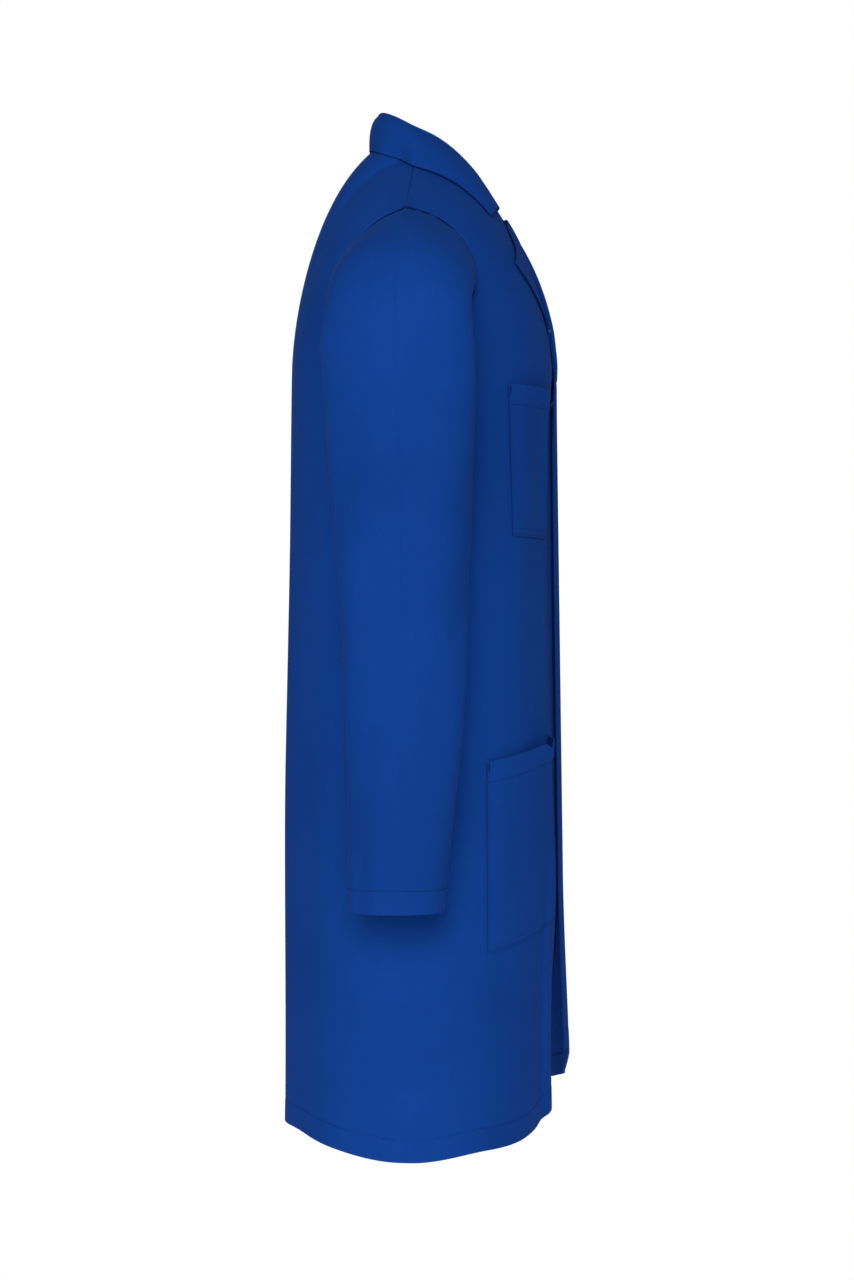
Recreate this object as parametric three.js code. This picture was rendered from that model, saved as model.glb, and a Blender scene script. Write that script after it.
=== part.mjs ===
// Lab coat, worn shape with nobody inside, hanging from its shoulders.
// Millimetres, +Z up, -Y is the front, +X is the wearer's left.
// The origin is the middle of the neck base. Every cloth piece is a thin closed shell.
import * as THREE from 'three';

// body
const BODY_LENGTH = 972; // neck base to hem
const BREAK_DROP = 220; // neck base to the lapel break, where the fronts start to close
const HEM_HALF_WIDTH = 243;
const CHEST_HALF_WIDTH = 206;
const HEM_BACK_DEPTH = 142;
const CHEST_BACK_DEPTH = 134;
const HEM_FRONT_DEPTH = 143;
const CHEST_FRONT_DEPTH = 133;
const SECTION_POWER = 2.6; // squareness of the body section
const FRONT_HEM_RISE = 75; // the front hem lifts toward the closing edges
const FRONT_OVERLAP = 20; // each closing edge past the middle
const CLOTH = 2; // shell thickness
const SEAM_GAP = 0.15 * CLOTH; // half of the gap at a seam
const SHOULDER_SEAM_GAP = 0.8 * CLOTH; // half of the gap at the shoulder seam
// shoulders, neck and armholes
const SHOULDER_OUT = 9; // shoulder point beyond the chest side
const SHOULDER_DROP = 70;
const NECK_HALF_WIDTH = 80;
const NECK_SIDE_BACK = 5; // shoulder seam behind the middle of the neck
const BACK_NECK_DEPTH = 50;
const BACK_NECK_RISE = 21;
const ARMHOLE_HALF_HEIGHT = 65.5;
const ARMHOLE_HALF_DEPTH = 66;
// collar and lapels
const STAND_HEIGHT = 39;
const STAND_FRONT_HEIGHT = 6;
const COLLAR_PUFF = 14; // how far the fall bows out between its fold and its edge
const LAPEL_LAY = 1.5; // clearance under a lapel or collar that lies on the cloth below
const POCKET_LAY = 0.65 * CLOTH; // clearance under a pocket's sewn edge
const BAND_CLEARANCE = 0.3 * CLOTH; // sleeve head inside the armhole edge
const BAND_OUT = 1.1 * CLOTH; // sleeve head starts this far out from the armhole edge
// closure
const FRONT_LAYERS = CLOTH + 5.2; // outer face of the left front to outer face of the right front
const STUD_COUNT = 5;
const STUD_RADIUS = 6;
const FLY_WIDTH = 48;
const FLY_CLOTH = 1.6;
// sleeves
const SLEEVE_LENGTH = 661; // shoulder point level to cuff edge
const SLEEVE_TOP_DEPTH = 148;
const SLEEVE_TOP_WIDTH = 84;
const CUFF_DEPTH = 89;
const CUFF_WIDTH = 68;
const ELBOW_DROP = 332; // shoulder point level to elbow
const CUFF_CLEARANCE = 26; // between the cuff and the body
const ELBOW_NOTCH_DEG = 47; // each side of the elbow fold at the front
// pockets
const CHEST_POCKET_DROP = 234;
const CHEST_POCKET_LENGTH = 147;
const CHEST_POCKET_STAND = 7.5;
const LOWER_POCKET_HEM = 194; // hem to the pocket's bottom at its rear corner
const LOWER_POCKET_LENGTH = 181;
const LOWER_POCKET_SLOPE = 22; // front corner above the rear corner
const LOWER_POCKET_STAND = 11;

// placing, all tied to the sizes above
const HEM_Z = -BODY_LENGTH;
const BREAK_Z = -BREAK_DROP;
const SHOULDER_HALF_WIDTH = CHEST_HALF_WIDTH + SHOULDER_OUT;
const SHOULDER_Z = -SHOULDER_DROP;
const ARM_Z = SHOULDER_Z + 1.5 - ARMHOLE_HALF_HEIGHT;
const ARM_Y = 2;
const ARM_PLANE = SHOULDER_HALF_WIDTH + 5;
const SLEEVE_TOP_Z = ARM_Z - ARMHOLE_HALF_HEIGHT - 7.5;
const CUFF_Z = SHOULDER_Z - SLEEVE_LENGTH;
const ELBOW_Z = SHOULDER_Z - ELBOW_DROP;
const QUARTER = 300; // nominal side seam to middle, along the cloth
const EDGE_S = 1 + FRONT_OVERLAP / QUARTER;
const HINGE_S = 0.215; // where the lower fronts start to swing
const CHEST_POCKET_S0 = 0.36;
const CHEST_POCKET_S1 = 0.735;
const LOWER_POCKET_S0 = 0.26;
const LOWER_POCKET_S1 = 0.70;
const SPLIT_Z = -(CHEST_POCKET_DROP + CHEST_POCKET_LENGTH + 25);
const STUD_PITCH = 0.16 * (BODY_LENGTH - BREAK_DROP);

const V = (x, y, z) => new THREE.Vector3(x, y, z);
const lerp = THREE.MathUtils.lerp;
const rad = THREE.MathUtils.degToRad;
const smooth = (x, a, b) => THREE.MathUtils.smoothstep(x, a, b);
const group = new THREE.Group();
group.name = 'lab_coat';

// ---- body section: a squarish oval, walked by the length of its edge ----
const ARC = [0];
{
  const a = (HEM_HALF_WIDTH + CHEST_HALF_WIDTH) / 2;
  const b = (HEM_BACK_DEPTH + CHEST_BACK_DEPTH) / 2;
  const at = (i) => {
    const th = rad(90 * i / 240);
    return [a * Math.cos(th) ** (2 / SECTION_POWER), b * Math.sin(th) ** (2 / SECTION_POWER)];
  };
  for (let i = 1; i <= 240; i += 1) {
    const p = at(i - 1);
    const q = at(i);
    ARC.push(ARC[i - 1] + Math.hypot(q[0] - p[0], q[1] - p[1]));
  }
}
function angleOf(s) {
  if (s > 1) return Math.PI - angleOf(2 - s);
  const want = Math.max(s, 0) * ARC[240];
  let i = 1;
  while (i < 240 && ARC[i] < want) i += 1;
  return rad(90 / 240 * (i - 1 + (want - ARC[i - 1]) / (ARC[i] - ARC[i - 1])));
}
const halfWidth = (z) => lerp(CHEST_HALF_WIDTH, HEM_HALF_WIDTH, (BREAK_Z - z) / (BREAK_Z - HEM_Z));
function ring(sx, face, z, s) {
  const k = (BREAK_Z - z) / (BREAK_Z - HEM_Z);
  const b = face > 0 ? lerp(CHEST_BACK_DEPTH, HEM_BACK_DEPTH, k)
    : lerp(CHEST_FRONT_DEPTH, HEM_FRONT_DEPTH, k);
  const th = angleOf(s);
  const c = Math.cos(th);
  const x = Math.sign(c) * halfWidth(z) * Math.abs(c) ** (2 / SECTION_POWER);
  const y = b * Math.sin(th) ** (2 / SECTION_POWER);
  return V(sx * x, face * y, z);
}
// the right front lies under the left one near the middle
const tuck = (sx, s, t) => (sx < 0 ? FRONT_LAYERS * smooth(s, 0.8, 0.93) * (1 - smooth(t, 0.3, 0.65)) : 0);

// ---- upper body: each line of cloth runs from the chest up to the shoulder or neck seam ----
const NECK_S = 0.6;
function topPoint(face, s) {
  const turn = face < 0 ? EDGE_S : NECK_S;
  const q = Math.min(s / turn, 1);
  if (s <= turn) {
    return V(lerp(SHOULDER_HALF_WIDTH, NECK_HALF_WIDTH, q), lerp(ARM_Y, NECK_SIDE_BACK, q),
      lerp(SHOULDER_Z, 0, q));
  }
  const w = rad(90 * (s - turn) / (1 - turn));
  return V(NECK_HALF_WIDTH * Math.cos(w), NECK_SIDE_BACK + BACK_NECK_DEPTH * Math.sin(w),
    BACK_NECK_RISE * Math.sin(w));
}
function loft(sx, face, t, s) {
  const a = ring(1, face, BREAK_Z, s);
  const b = topPoint(face, s);
  const t2 = t * t;
  const t3 = t2 * t;
  const h00 = 2 * t3 - 3 * t2 + 1;
  const h10 = t3 - 2 * t2 + t;
  const h01 = 3 * t2 - 2 * t3;
  const h11 = t3 - t2;
  const lift = 20 + (face > 0 ? 120 * smooth(s, NECK_S, 1) : 0);
  const x = a.x * h00 + b.x * h01 + (b.x - a.x) * h11;
  const y = a.y * h00 + b.y * h01 + 1.95 * (b.y - a.y) * h11;
  const z = a.z * h00 + b.z * h01 + 1.1 * (b.z - a.z) * h10 + lift * h11;
  return V(sx * x, y + tuck(face < 0 ? sx : 1, s, t), z);
}
// armhole edge on a row of cloth: the first s outside the armhole oval
function armEdge(face, t) {
  const out = (s) => {
    const p = loft(1, face, t, s);
    return ((p.z - ARM_Z) / ARMHOLE_HALF_HEIGHT) ** 2 + ((p.y - ARM_Y) / ARMHOLE_HALF_DEPTH) ** 2 - 1;
  };
  if (out(0) >= 0) return 0;
  let lo = 0;
  let hi = 0.6;
  for (let i = 0; i < 40; i += 1) {
    const mid = (lo + hi) / 2;
    if (out(mid) < 0) lo = mid;
    else hi = mid;
  }
  return hi;
}
// v 0..1 hem to chest, 1..2 chest to shoulder; s from side seam to middle or closing edge
const riseAt = (x) => FRONT_HEM_RISE * (1 - Math.min(Math.abs(x) / HEM_HALF_WIDTH, 1)) ** 2;
function panel(sx, face, v, s) {
  const top = face < 0 ? EDGE_S : 1;
  let p;
  if (v <= 1) {
    const low = face < 0 ? HEM_Z + riseAt(ring(1, face, HEM_Z, s).x) : HEM_Z;
    p = ring(sx, face, lerp(low, BREAK_Z, v), s);
    if (face < 0) p.y += tuck(sx, s, 0);
  } else {
    const e = armEdge(face, v - 1);
    p = loft(sx, face, v - 1, e + s * (1 - e / top));
  }
  p.y += face * lerp(SEAM_GAP, SHOULDER_SEAM_GAP, smooth(v, 1.75, 1.99));
  if (face > 0) p.x += sx * SEAM_GAP;
  return p;
}
const rowOf = (z, s) => {
  const low = HEM_Z + riseAt(ring(1, -1, HEM_Z, s).x);
  return (z - low) / (BREAK_Z - low);
};

// ---- shells ----
const range = (a, b, n) => Array.from({ length: n + 1 }, (_, i) => lerp(a, b, i / n));
function normalOf(fn, u, w, du, dw, uLim, wLim) {
  const u0 = Math.max(u - du, uLim[0]);
  const u1 = Math.min(u + du, uLim[1]);
  const w0 = Math.max(w - dw, wLim[0]);
  const w1 = Math.min(w + dw, wLim[1]);
  const a = fn(u1, w).sub(fn(u0, w));
  const b = fn(u, w1).sub(fn(u, w0));
  return a.cross(b).normalize();
}
function addMesh(name, geometry, tint, metal) {
  const material = new THREE.MeshStandardMaterial({
    color: tint,
    roughness: metal ? 0.35 : 0.9,
    metalness: metal ? 1 : 0,
  });
  const mesh = new THREE.Mesh(geometry, material);
  mesh.name = name;
  group.add(mesh);
}
// closed shell over a grid of cloth points; keep(i, j) tells which cells exist
function shell(name, us, ws, pair, wrap, keep, tint) {
  const nu = us.length;
  const nw = ws.length;
  const pos = [];
  for (let side = 0; side < 2; side += 1) {
    for (let i = 0; i < nu; i += 1) {
      for (let j = 0; j < nw; j += 1) pos.push(pair(us[i], ws[j])[side]);
    }
  }
  const id = (side, i, j) => side * nu * nw + i * nw + (wrap ? j % nw : j);
  const cells = (i, j) => {
    if (i < 0 || i >= nu - 1) return false;
    if (!wrap && (j < 0 || j >= nw - 1)) return false;
    return keep ? keep(i, j) : true;
  };
  // outward winding decided from the first kept cell
  const tri = [];
  const quad = (a, b, c, d) => tri.push([a, b, c], [a, c, d]);
  const cols = wrap ? nw : nw - 1;
  for (let i = 0; i < nu - 1; i += 1) {
    for (let j = 0; j < cols; j += 1) {
      if (!cells(i, j)) continue;
      const jn = j + 1;
      quad(id(0, i, j), id(0, i + 1, j), id(0, i + 1, jn), id(0, i, jn));
      quad(id(1, i, jn), id(1, i + 1, jn), id(1, i + 1, j), id(1, i, j));
      if (!cells(i - 1, j)) quad(id(0, i, jn), id(1, i, jn), id(1, i, j), id(0, i, j));
      if (!cells(i + 1, j)) quad(id(0, i + 1, j), id(1, i + 1, j), id(1, i + 1, jn), id(0, i + 1, jn));
      if (wrap) continue;
      if (!cells(i, j - 1)) quad(id(0, i, j), id(1, i, j), id(1, i + 1, j), id(0, i + 1, j));
      if (!cells(i, jn)) quad(id(0, i + 1, jn), id(1, i + 1, jn), id(1, i, jn), id(0, i, jn));
    }
  }
  let volume = 0;
  tri.forEach(([a, b, c]) => {
    volume += pos[a].dot(V(0, 0, 0).crossVectors(pos[b], pos[c]));
  });
  const flat = [];
  tri.forEach(([a, b, c]) => {
    (volume > 0 ? [a, b, c] : [a, c, b]).forEach((k) => flat.push(pos[k].x, pos[k].y, pos[k].z));
  });
  const geometry = new THREE.BufferGeometry();
  geometry.setAttribute('position', new THREE.Float32BufferAttribute(flat, 3));
  geometry.computeVertexNormals();
  addMesh(name, geometry, tint ?? 0x1a3c86, false);
}
// pair of outer and inner points, the cloth growing inward from the fitted face
function clothPair(fn, uLim, wLim, outer, thickness, hub) {
  return (u, w) => {
    const p = fn(u, w);
    const n = normalOf(fn, u, w, 0.002, 0.002, uLim, wLim);
    const from = p.clone().sub(hub(p));
    if (n.dot(from) < 0) n.negate();
    const lift = typeof outer === 'function' ? outer(u, w) : outer;
    return [p.clone().addScaledVector(n, lift), p.clone().addScaledVector(n, lift - thickness)];
  };
}
const bodyHub = (p) => V(0, 0, Math.min(p.z, -180));

// ---- rows and columns of the body panels ----
const ARM_BOTTOM_T = (() => {
  let t = 0;
  while (loft(1, -1, t, 0).z < ARM_Z - ARMHOLE_HALF_HEIGHT) t += 0.002;
  return t;
})();
const upperRows = [1, 1 + ARM_BOTTOM_T * 0.999];
for (let i = 1; i <= 8; i += 1) {
  upperRows.push(1 + lerp(ARM_BOTTOM_T, 1, (1 - Math.cos(Math.PI * i / 8)) / 2));
}
const backCols = range(0, 1, 9);
const SPLIT_V = rowOf(SPLIT_Z, 0);
const splitGap = SEAM_GAP / (BODY_LENGTH - BREAK_DROP);
const hingeGap = SEAM_GAP / QUARTER;
const sideNames = [['right', -1], ['left', 1]];

sideNames.forEach(([label, sx]) => {
  // back half: centre seam to side seam, hem to shoulder and neck
  const backFn = (v, s) => panel(sx, 1, v, s);
  shell(`${label}_back`, [...range(0, 0.999, 7).slice(0, 7), ...upperRows], backCols,
    clothPair(backFn, [0, 2], [0, 1], 0, CLOTH, bodyHub), false, null);

  // front: chest and side, with the lower closing part left out below the split
  const frontFn = (v, s) => panel(sx, -1, v, s);
  const cols = [0, 0.11, HINGE_S - hingeGap, 0.33, 0.45, 0.57, 0.68, 0.78, 0.86, 0.93, 1, EDGE_S];
  const rows = [...range(0, SPLIT_V + splitGap, 4), 0.87, ...upperRows];
  const frontPair = clothPair(frontFn, [0, 2], [0, EDGE_S], 0, CLOTH, bodyHub);
  shell(`${label}_front`, rows, cols, frontPair, false, (i, j) => i >= 4 || j <= 1);
  // front: the lower closing part, which can be folded open
  const lowCols = [HINGE_S + hingeGap, ...cols.slice(3)];
  shell(`${label}_front_skirt`, range(0, SPLIT_V - splitGap, 5), lowCols, frontPair, false, null);

  // lapel, the turned back upper end of the front
  const LAPEL_TOP = 0.78;
  const lapelFn = (p, q) => {
    const t = lerp(0.02 + LAPEL_TOP * p, 0.02 + 0.45 * p, q);
    const s = lerp(EDGE_S, lerp(EDGE_S, 0.58, p), q);
    const a = loft(sx, -1, t, s);
    a.y -= SEAM_GAP;
    return a;
  };
  shell(`${label}_lapel`, range(0.04, 1, 10), range(0, 1, 5),
    clothPair(lapelFn, [0.02, 1], [0, 1], LAPEL_LAY + CLOTH, CLOTH, bodyHub), false, null);
});

// ---- collar ----
const GORGE_T = 0.83;
const NECK_PART = 0.5;
function neckSeam(n) {
  const sx = Math.sign(n) || 1;
  const m = Math.abs(n);
  let p;
  if (m <= NECK_PART) p = loft(sx, 1, 1, lerp(1, NECK_S, m / NECK_PART));
  else p = loft(sx, -1, lerp(1, GORGE_T, (m - NECK_PART) / (1 - NECK_PART)), EDGE_S);
  const inward = V(-p.x, -p.y, 0).normalize();
  return p.addScaledVector(inward, 1.6).add(V(0, 0, 1.4));
}
function foldLine(n) {
  const p = neckSeam(n);
  const h = STAND_FRONT_HEIGHT + (STAND_HEIGHT - STAND_FRONT_HEIGHT) * (1 - n * n);
  const inward = V(-p.x, -p.y, 0).normalize();
  return p.addScaledVector(inward, 0.26 * h).add(V(0, 0, 0.97 * h));
}
const standFn = (n, r) => neckSeam(n).lerp(foldLine(n), r);
const neckHub = (p) => V(0, -5, p.z);
shell('collar_stand', range(-1, 1, 20), [0, 0.5, 0.95],
  clothPair(standFn, [-1, 1], [0, 1], 0, CLOTH, neckHub), false, null);

function fallEdge(n) {
  const sx = Math.sign(n) || 1;
  const m = Math.abs(n);
  const cross = 0.56;
  let face = 1;
  let t;
  let s;
  if (m <= cross) {
    const k = m / cross;
    t = 0.985 - 0.1 * Math.sin(Math.PI * k ** 1.6) + 0.015 * k;
    s = lerp(1, 0.475, k);
  } else {
    const k = (m - cross) / (1 - cross);
    face = -1;
    t = lerp(1, 0.72, k);
    s = lerp(0.844, 0.73, k);
  }
  const fn = (a, b) => loft(sx, face, a, b);
  const normal = normalOf(fn, t, s, 0.002, 0.002, [0, 1], [0, EDGE_S]);
  if (normal.z < 0) normal.negate();
  return fn(t, s).addScaledVector(normal, LAPEL_LAY + CLOTH + 1.2);
}
function fallFn(n, r) {
  const fold = foldLine(n);
  const edge = fallEdge(n);
  const out = V(fold.x, fold.y + 5, 0).normalize();
  fold.addScaledVector(out, 3.2 + CLOTH);
  const belly = fold.clone().lerp(edge, 0.45).addScaledVector(out, COLLAR_PUFF * 0.7);
  belly.z += COLLAR_PUFF;
  const a = fold.multiplyScalar((1 - r) ** 2);
  return a.addScaledVector(belly, 2 * r * (1 - r)).addScaledVector(edge, r * r);
}
shell('collar_fall', range(-1, 1, 24), range(0, 1, 4),
  clothPair(fallFn, [-1, 1], [0, 1], 0, CLOTH, (p) => V(p.x * 0.4, p.y * 0.4, -120)), false, null);

// hanging loop on the inside of the stand, at the middle of the back
{
  const loopFn = (a, w) => {
    const mid = neckSeam(0);
    const x = 30 * Math.cos(a);
    const z = mid.z + 18 - 12 * Math.sin(a);
    const y = mid.y - 14 - 2.2 * Math.sin(a);
    return V(x, y, z + w);
  };
  const pair = (a, w) => {
    const p = loopFn(a, w);
    return [p, p.clone().add(V(0, -1.2, 0))];
  };
  shell('hang_loop', range(0, Math.PI, 10), [-2.5, 2.5], pair, false, null);
}

// ---- sleeves ----
const ARM_CURVE = [];
for (let i = 0; i <= 60; i += 1) {
  const t = lerp(ARM_BOTTOM_T, 1, (1 - Math.cos(Math.PI * i / 60)) / 2);
  [-1, 1].forEach((face) => {
    const p = loft(1, face, t, armEdge(face, t));
    const a = Math.atan2((p.y - ARM_Y) / ARMHOLE_HALF_DEPTH, (p.z - ARM_Z) / ARMHOLE_HALF_HEIGHT);
    ARM_CURVE.push([a, p.x]);
  });
}
ARM_CURVE.sort((p, q) => p[0] - q[0]);
function armX(psi) {
  let a = psi;
  while (a > Math.PI) a -= 2 * Math.PI;
  let i = 0;
  while (i < ARM_CURVE.length && ARM_CURVE[i][0] < a) i += 1;
  if (i === 0) return ARM_CURVE[0][1];
  if (i === ARM_CURVE.length) return ARM_CURVE[i - 1][1];
  const [a0, x0] = ARM_CURVE[i - 1];
  const [a1, x1] = ARM_CURVE[i];
  return lerp(x0, x1, (a - a0) / Math.max(a1 - a0, 1e-9));
}
const SLEEVE_IN = ARM_PLANE + 0.6;
// straight part of the sleeve, k 0 at the underarm and 1 at the cuff edge
function sleeveTube(sx, psi, k) {
  const bow = k * (1 - k);
  const halfX = lerp(SLEEVE_TOP_WIDTH, CUFF_WIDTH, k) / 2 + 8 * bow;
  const halfY = lerp(SLEEVE_TOP_DEPTH, CUFF_DEPTH, k) / 2;
  const z = lerp(SLEEVE_TOP_Z, CUFF_Z, k);
  const cuffIn = halfWidth(CUFF_Z) + CUFF_CLEARANCE;
  const x = lerp(SLEEVE_IN, cuffIn, k) + halfX;
  const y = 5 - 1.5 * k - 31 * bow;
  return V(sx * (x + halfX * Math.cos(psi)), y + halfY * Math.sin(psi), z);
}
// sleeve head: sections fan out from the armhole plane to level, turning about the underarm
function sleeveFan(sx, psi, f) {
  const phi = rad(90 * f);
  const reach = lerp(ARMHOLE_HALF_HEIGHT, SLEEVE_TOP_WIDTH / 2, f);
  const halfY = lerp(ARMHOLE_HALF_DEPTH, SLEEVE_TOP_DEPTH / 2, f);
  const along = reach * (1 + Math.cos(psi));
  const x = SLEEVE_IN + along * Math.sin(phi);
  const z = ARM_Z - ARMHOLE_HALF_HEIGHT - 7.5 * f + along * Math.cos(phi);
  return V(sx * x, lerp(ARM_Y, 5, f) + halfY * Math.sin(psi), z);
}
const ELBOW_K = (SLEEVE_TOP_Z - ELBOW_Z) / (SLEEVE_TOP_Z - CUFF_Z);
const ELBOW_Y = ARM_Y + 2;
function elbowCut(psi, way) {
  const y = sleeveTube(1, psi, ELBOW_K).y;
  const rise = Math.max(0, ELBOW_Y - y) * Math.tan(rad(ELBOW_NOTCH_DEG)) + SEAM_GAP;
  return ELBOW_K - way * rise / (SLEEVE_TOP_Z - CUFF_Z);
}
const around = Array.from({ length: 18 }, (_, i) => i * Math.PI / 9);
const FREE = [-1e9, 1e9];
sideNames.forEach(([label, sx]) => {
  // fixed band sewn to the armhole
  const bandFn = (u, psi) => V(sx * lerp(armX(psi) + BAND_OUT, ARM_PLANE, u),
    ARM_Y + (ARMHOLE_HALF_DEPTH - BAND_CLEARANCE) * Math.sin(psi),
    ARM_Z + (ARMHOLE_HALF_HEIGHT - BAND_CLEARANCE) * Math.cos(psi));
  const bandPair = (u, psi) => {
    const p = bandFn(u, psi);
    const q = V(p.x, lerp(ARM_Y, p.y, 1 - CLOTH / ARMHOLE_HALF_DEPTH),
      lerp(ARM_Z, p.z, 1 - CLOTH / ARMHOLE_HALF_HEIGHT));
    return [p, q];
  };
  shell(`${label}_sleeve_head`, [0, 0.5, 1], around, bandPair, true, null);

  // upper sleeve, armhole plane to elbow
  const upperFn = (u, psi) => (u <= 1 ? sleeveFan(sx, psi, u)
    : sleeveTube(sx, psi, (u - 1) * elbowCut(psi, 1)));
  const hubUpper = (p) => V(sx * (SLEEVE_IN + SLEEVE_TOP_WIDTH * 0.42), 2,
    Math.min(p.z, SLEEVE_TOP_Z + 20));
  shell(`${label}_upper_sleeve`, [0, 0.25, 0.5, 0.75, 1, 1.33, 1.66, 2], around,
    clothPair(upperFn, [0, 2], FREE, 0, CLOTH, hubUpper), true, null);

  // forearm sleeve, elbow to cuff
  const foreFn = (u, psi) => sleeveTube(sx, psi, lerp(elbowCut(psi, -1), 1, u));
  const hubFore = (p) => V(sx * (lerp(SLEEVE_IN, halfWidth(CUFF_Z) + CUFF_CLEARANCE, 0.6) + 35), 0, p.z);
  shell(`${label}_forearm_sleeve`, [0, 0.35, 0.7, 1], around,
    clothPair(foreFn, [0, 1], FREE, 0, CLOTH, hubFore), true, null);
});

// ---- patch pockets: pan shaped shells, sewn down at the sides and bottom, open at the top ----
function pocket(name, sx, s0, s1, topZ, length, slope, stand) {
  const cols = [0, 0.05, 0.3, 0.55, 0.8, 0.95, 1];
  const rows = [0, 0.04, 0.35, 0.7, 1];
  const fn = (r, c) => {
    const s = lerp(s0, s1, c);
    const p = ring(sx, -1, topZ - length * (1 - r) + slope * c, s);
    p.y += tuck(sx, s, 0) - SEAM_GAP;
    return p;
  };
  const lift = (r, c) => {
    const edge = Math.min(smooth(c, 0, 0.05), smooth(1 - c, 0, 0.05), smooth(r, 0, 0.04));
    return POCKET_LAY + CLOTH + stand * edge;
  };
  shell(name, rows, cols, clothPair(fn, [0, 1], [0, 1], lift, CLOTH, bodyHub), false, null);
}
pocket('chest_pocket', -1, CHEST_POCKET_S0, CHEST_POCKET_S1, -CHEST_POCKET_DROP,
  CHEST_POCKET_LENGTH, 0, CHEST_POCKET_STAND);
sideNames.forEach(([label, sx]) => {
  pocket(`${label}_lower_pocket`, sx, LOWER_POCKET_S0, LOWER_POCKET_S1,
    HEM_Z + LOWER_POCKET_HEM + LOWER_POCKET_LENGTH, LOWER_POCKET_LENGTH, LOWER_POCKET_SLOPE,
    LOWER_POCKET_STAND);
});

// ---- concealed closure: a fly strip behind the left front, and press studs ----
const FLY_TOP = BREAK_Z - 6;
const FLY_END = BREAK_Z - 20 - STUD_PITCH * (STUD_COUNT - 1) - 30;
const flyFn = (z, s) => {
  const p = ring(1, -1, z, s);
  p.y -= SEAM_GAP;
  return p;
};
const FLY_S1 = EDGE_S - 0.012;
const FLY_S0 = FLY_S1 - FLY_WIDTH / QUARTER;
const flyPair = clothPair(flyFn, FREE, [0, EDGE_S], -(CLOTH + 0.5), FLY_CLOTH, bodyHub);
const splitAt = lerp(HEM_Z + riseAt(0), BREAK_Z, SPLIT_V);
shell('left_fly', [splitAt + 0.6, FLY_TOP], range(FLY_S0, FLY_S1, 3), flyPair, false, null, 0x16316f);
shell('left_fly_skirt', [FLY_END, splitAt - 0.6], range(FLY_S0, FLY_S1, 3), flyPair, false, null, 0x16316f);

// a lathe body standing on the front, its axis pointing forward; heights grow toward the back
function turned(name, profile, z) {
  const front = ring(1, -1, z, 1).y - SEAM_GAP;
  const geometry = new THREE.LatheGeometry(profile.map(([r, h]) => new THREE.Vector2(r, h)), 14);
  geometry.translate(0, front, z);
  addMesh(name, geometry, 0xb9bec4, true);
}
const STUD_NUMBERS = Array.from({ length: STUD_COUNT }, (_, i) => i);
STUD_NUMBERS.forEach((i) => {
  const z = BREAK_Z - 20 - STUD_PITCH * i;
  const r = STUD_RADIUS;
  const near = CLOTH + 0.5 + FLY_CLOTH + 0.4; // face of the socket that sits on the fly
  const far = FRONT_LAYERS - 0.5; // base of the stud that sits on the right front
  // socket ring: closed ring profile, counterclockwise
  turned(`stud_socket_${i + 1}`, [[0.62 * r, near], [r, near], [r, near + 1.1], [0.9 * r, near + 1.4],
    [0.62 * r, near + 1.4], [0.62 * r, near]], z);
  turned(`stud_post_${i + 1}`, [[0, far - 1.8], [0.3 * r, far - 1.6], [0.34 * r, far - 0.6],
    [0.92 * r, far - 0.5], [0.92 * r, far], [0, far]], z);
});

export default group;
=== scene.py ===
import math

import bpy
import numpy as np
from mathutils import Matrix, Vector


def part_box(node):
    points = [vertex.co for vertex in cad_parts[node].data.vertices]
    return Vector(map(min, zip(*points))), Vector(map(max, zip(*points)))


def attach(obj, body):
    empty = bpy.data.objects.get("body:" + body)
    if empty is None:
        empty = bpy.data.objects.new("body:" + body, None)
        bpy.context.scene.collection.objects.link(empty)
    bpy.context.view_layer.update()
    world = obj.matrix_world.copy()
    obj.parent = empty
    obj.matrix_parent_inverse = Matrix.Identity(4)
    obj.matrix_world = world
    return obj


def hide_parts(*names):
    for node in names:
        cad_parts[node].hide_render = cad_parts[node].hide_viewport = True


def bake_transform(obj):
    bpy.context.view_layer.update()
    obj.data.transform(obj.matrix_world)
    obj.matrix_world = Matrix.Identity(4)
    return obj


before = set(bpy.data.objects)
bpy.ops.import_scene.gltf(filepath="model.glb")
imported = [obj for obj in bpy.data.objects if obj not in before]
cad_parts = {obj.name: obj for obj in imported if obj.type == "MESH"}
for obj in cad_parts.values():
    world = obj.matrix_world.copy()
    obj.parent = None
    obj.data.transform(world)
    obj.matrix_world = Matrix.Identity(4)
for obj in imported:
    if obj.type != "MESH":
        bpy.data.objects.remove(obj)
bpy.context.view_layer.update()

# Row frame, worked in millimetres here and turned to metres when a mesh is made.
# +Z up, -Y front, +X the wearer's left; the origin is the middle of the neck base.
# A place on a body panel is (sx, face, h, s): its side, front or back, its height as
# body_point says, and s from 0 at the side seam to 1 in the middle of the coat.


def cad(node):
    """Lowest and highest corner of a CAD node in millimetres."""
    lo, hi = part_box(node)
    return np.array(lo) * 1000, np.array(hi) * 1000


# ---- sizes: the overall ones from the frame, the others to match the CAD source ----
CAD_SEAM_GAP = 0.3
HEM_Z = cad("left_back")[0][2]
HEM_HALF_WIDTH = cad("left_back")[1][0]
HEM_BACK_DEPTH = cad("left_back")[1][1] - CAD_SEAM_GAP
CUFF_Z = cad("left_forearm_sleeve")[0][2]
BREAK_Z = -220.0  # where the lapels start to turn back
FLARE = 37.0  # how much wider each half is at the hem than at the chest
CHEST_HALF_WIDTH = HEM_HALF_WIDTH - FLARE
CHEST_BACK_DEPTH = 134.0
HEM_FRONT_DEPTH = 143.0
CHEST_FRONT_DEPTH = 133.0
SECTION_POWER = 2.6  # of the superellipse that the body's level section follows
FRONT_HEM_RISE = 75.0
SHOULDER = np.array([CHEST_HALF_WIDTH + 9, 2.0, -70.0])
NECK_SIDE = np.array([80.0, 5.0, 0.0])
BACK_NECK_DEPTH = 50.0
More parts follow.
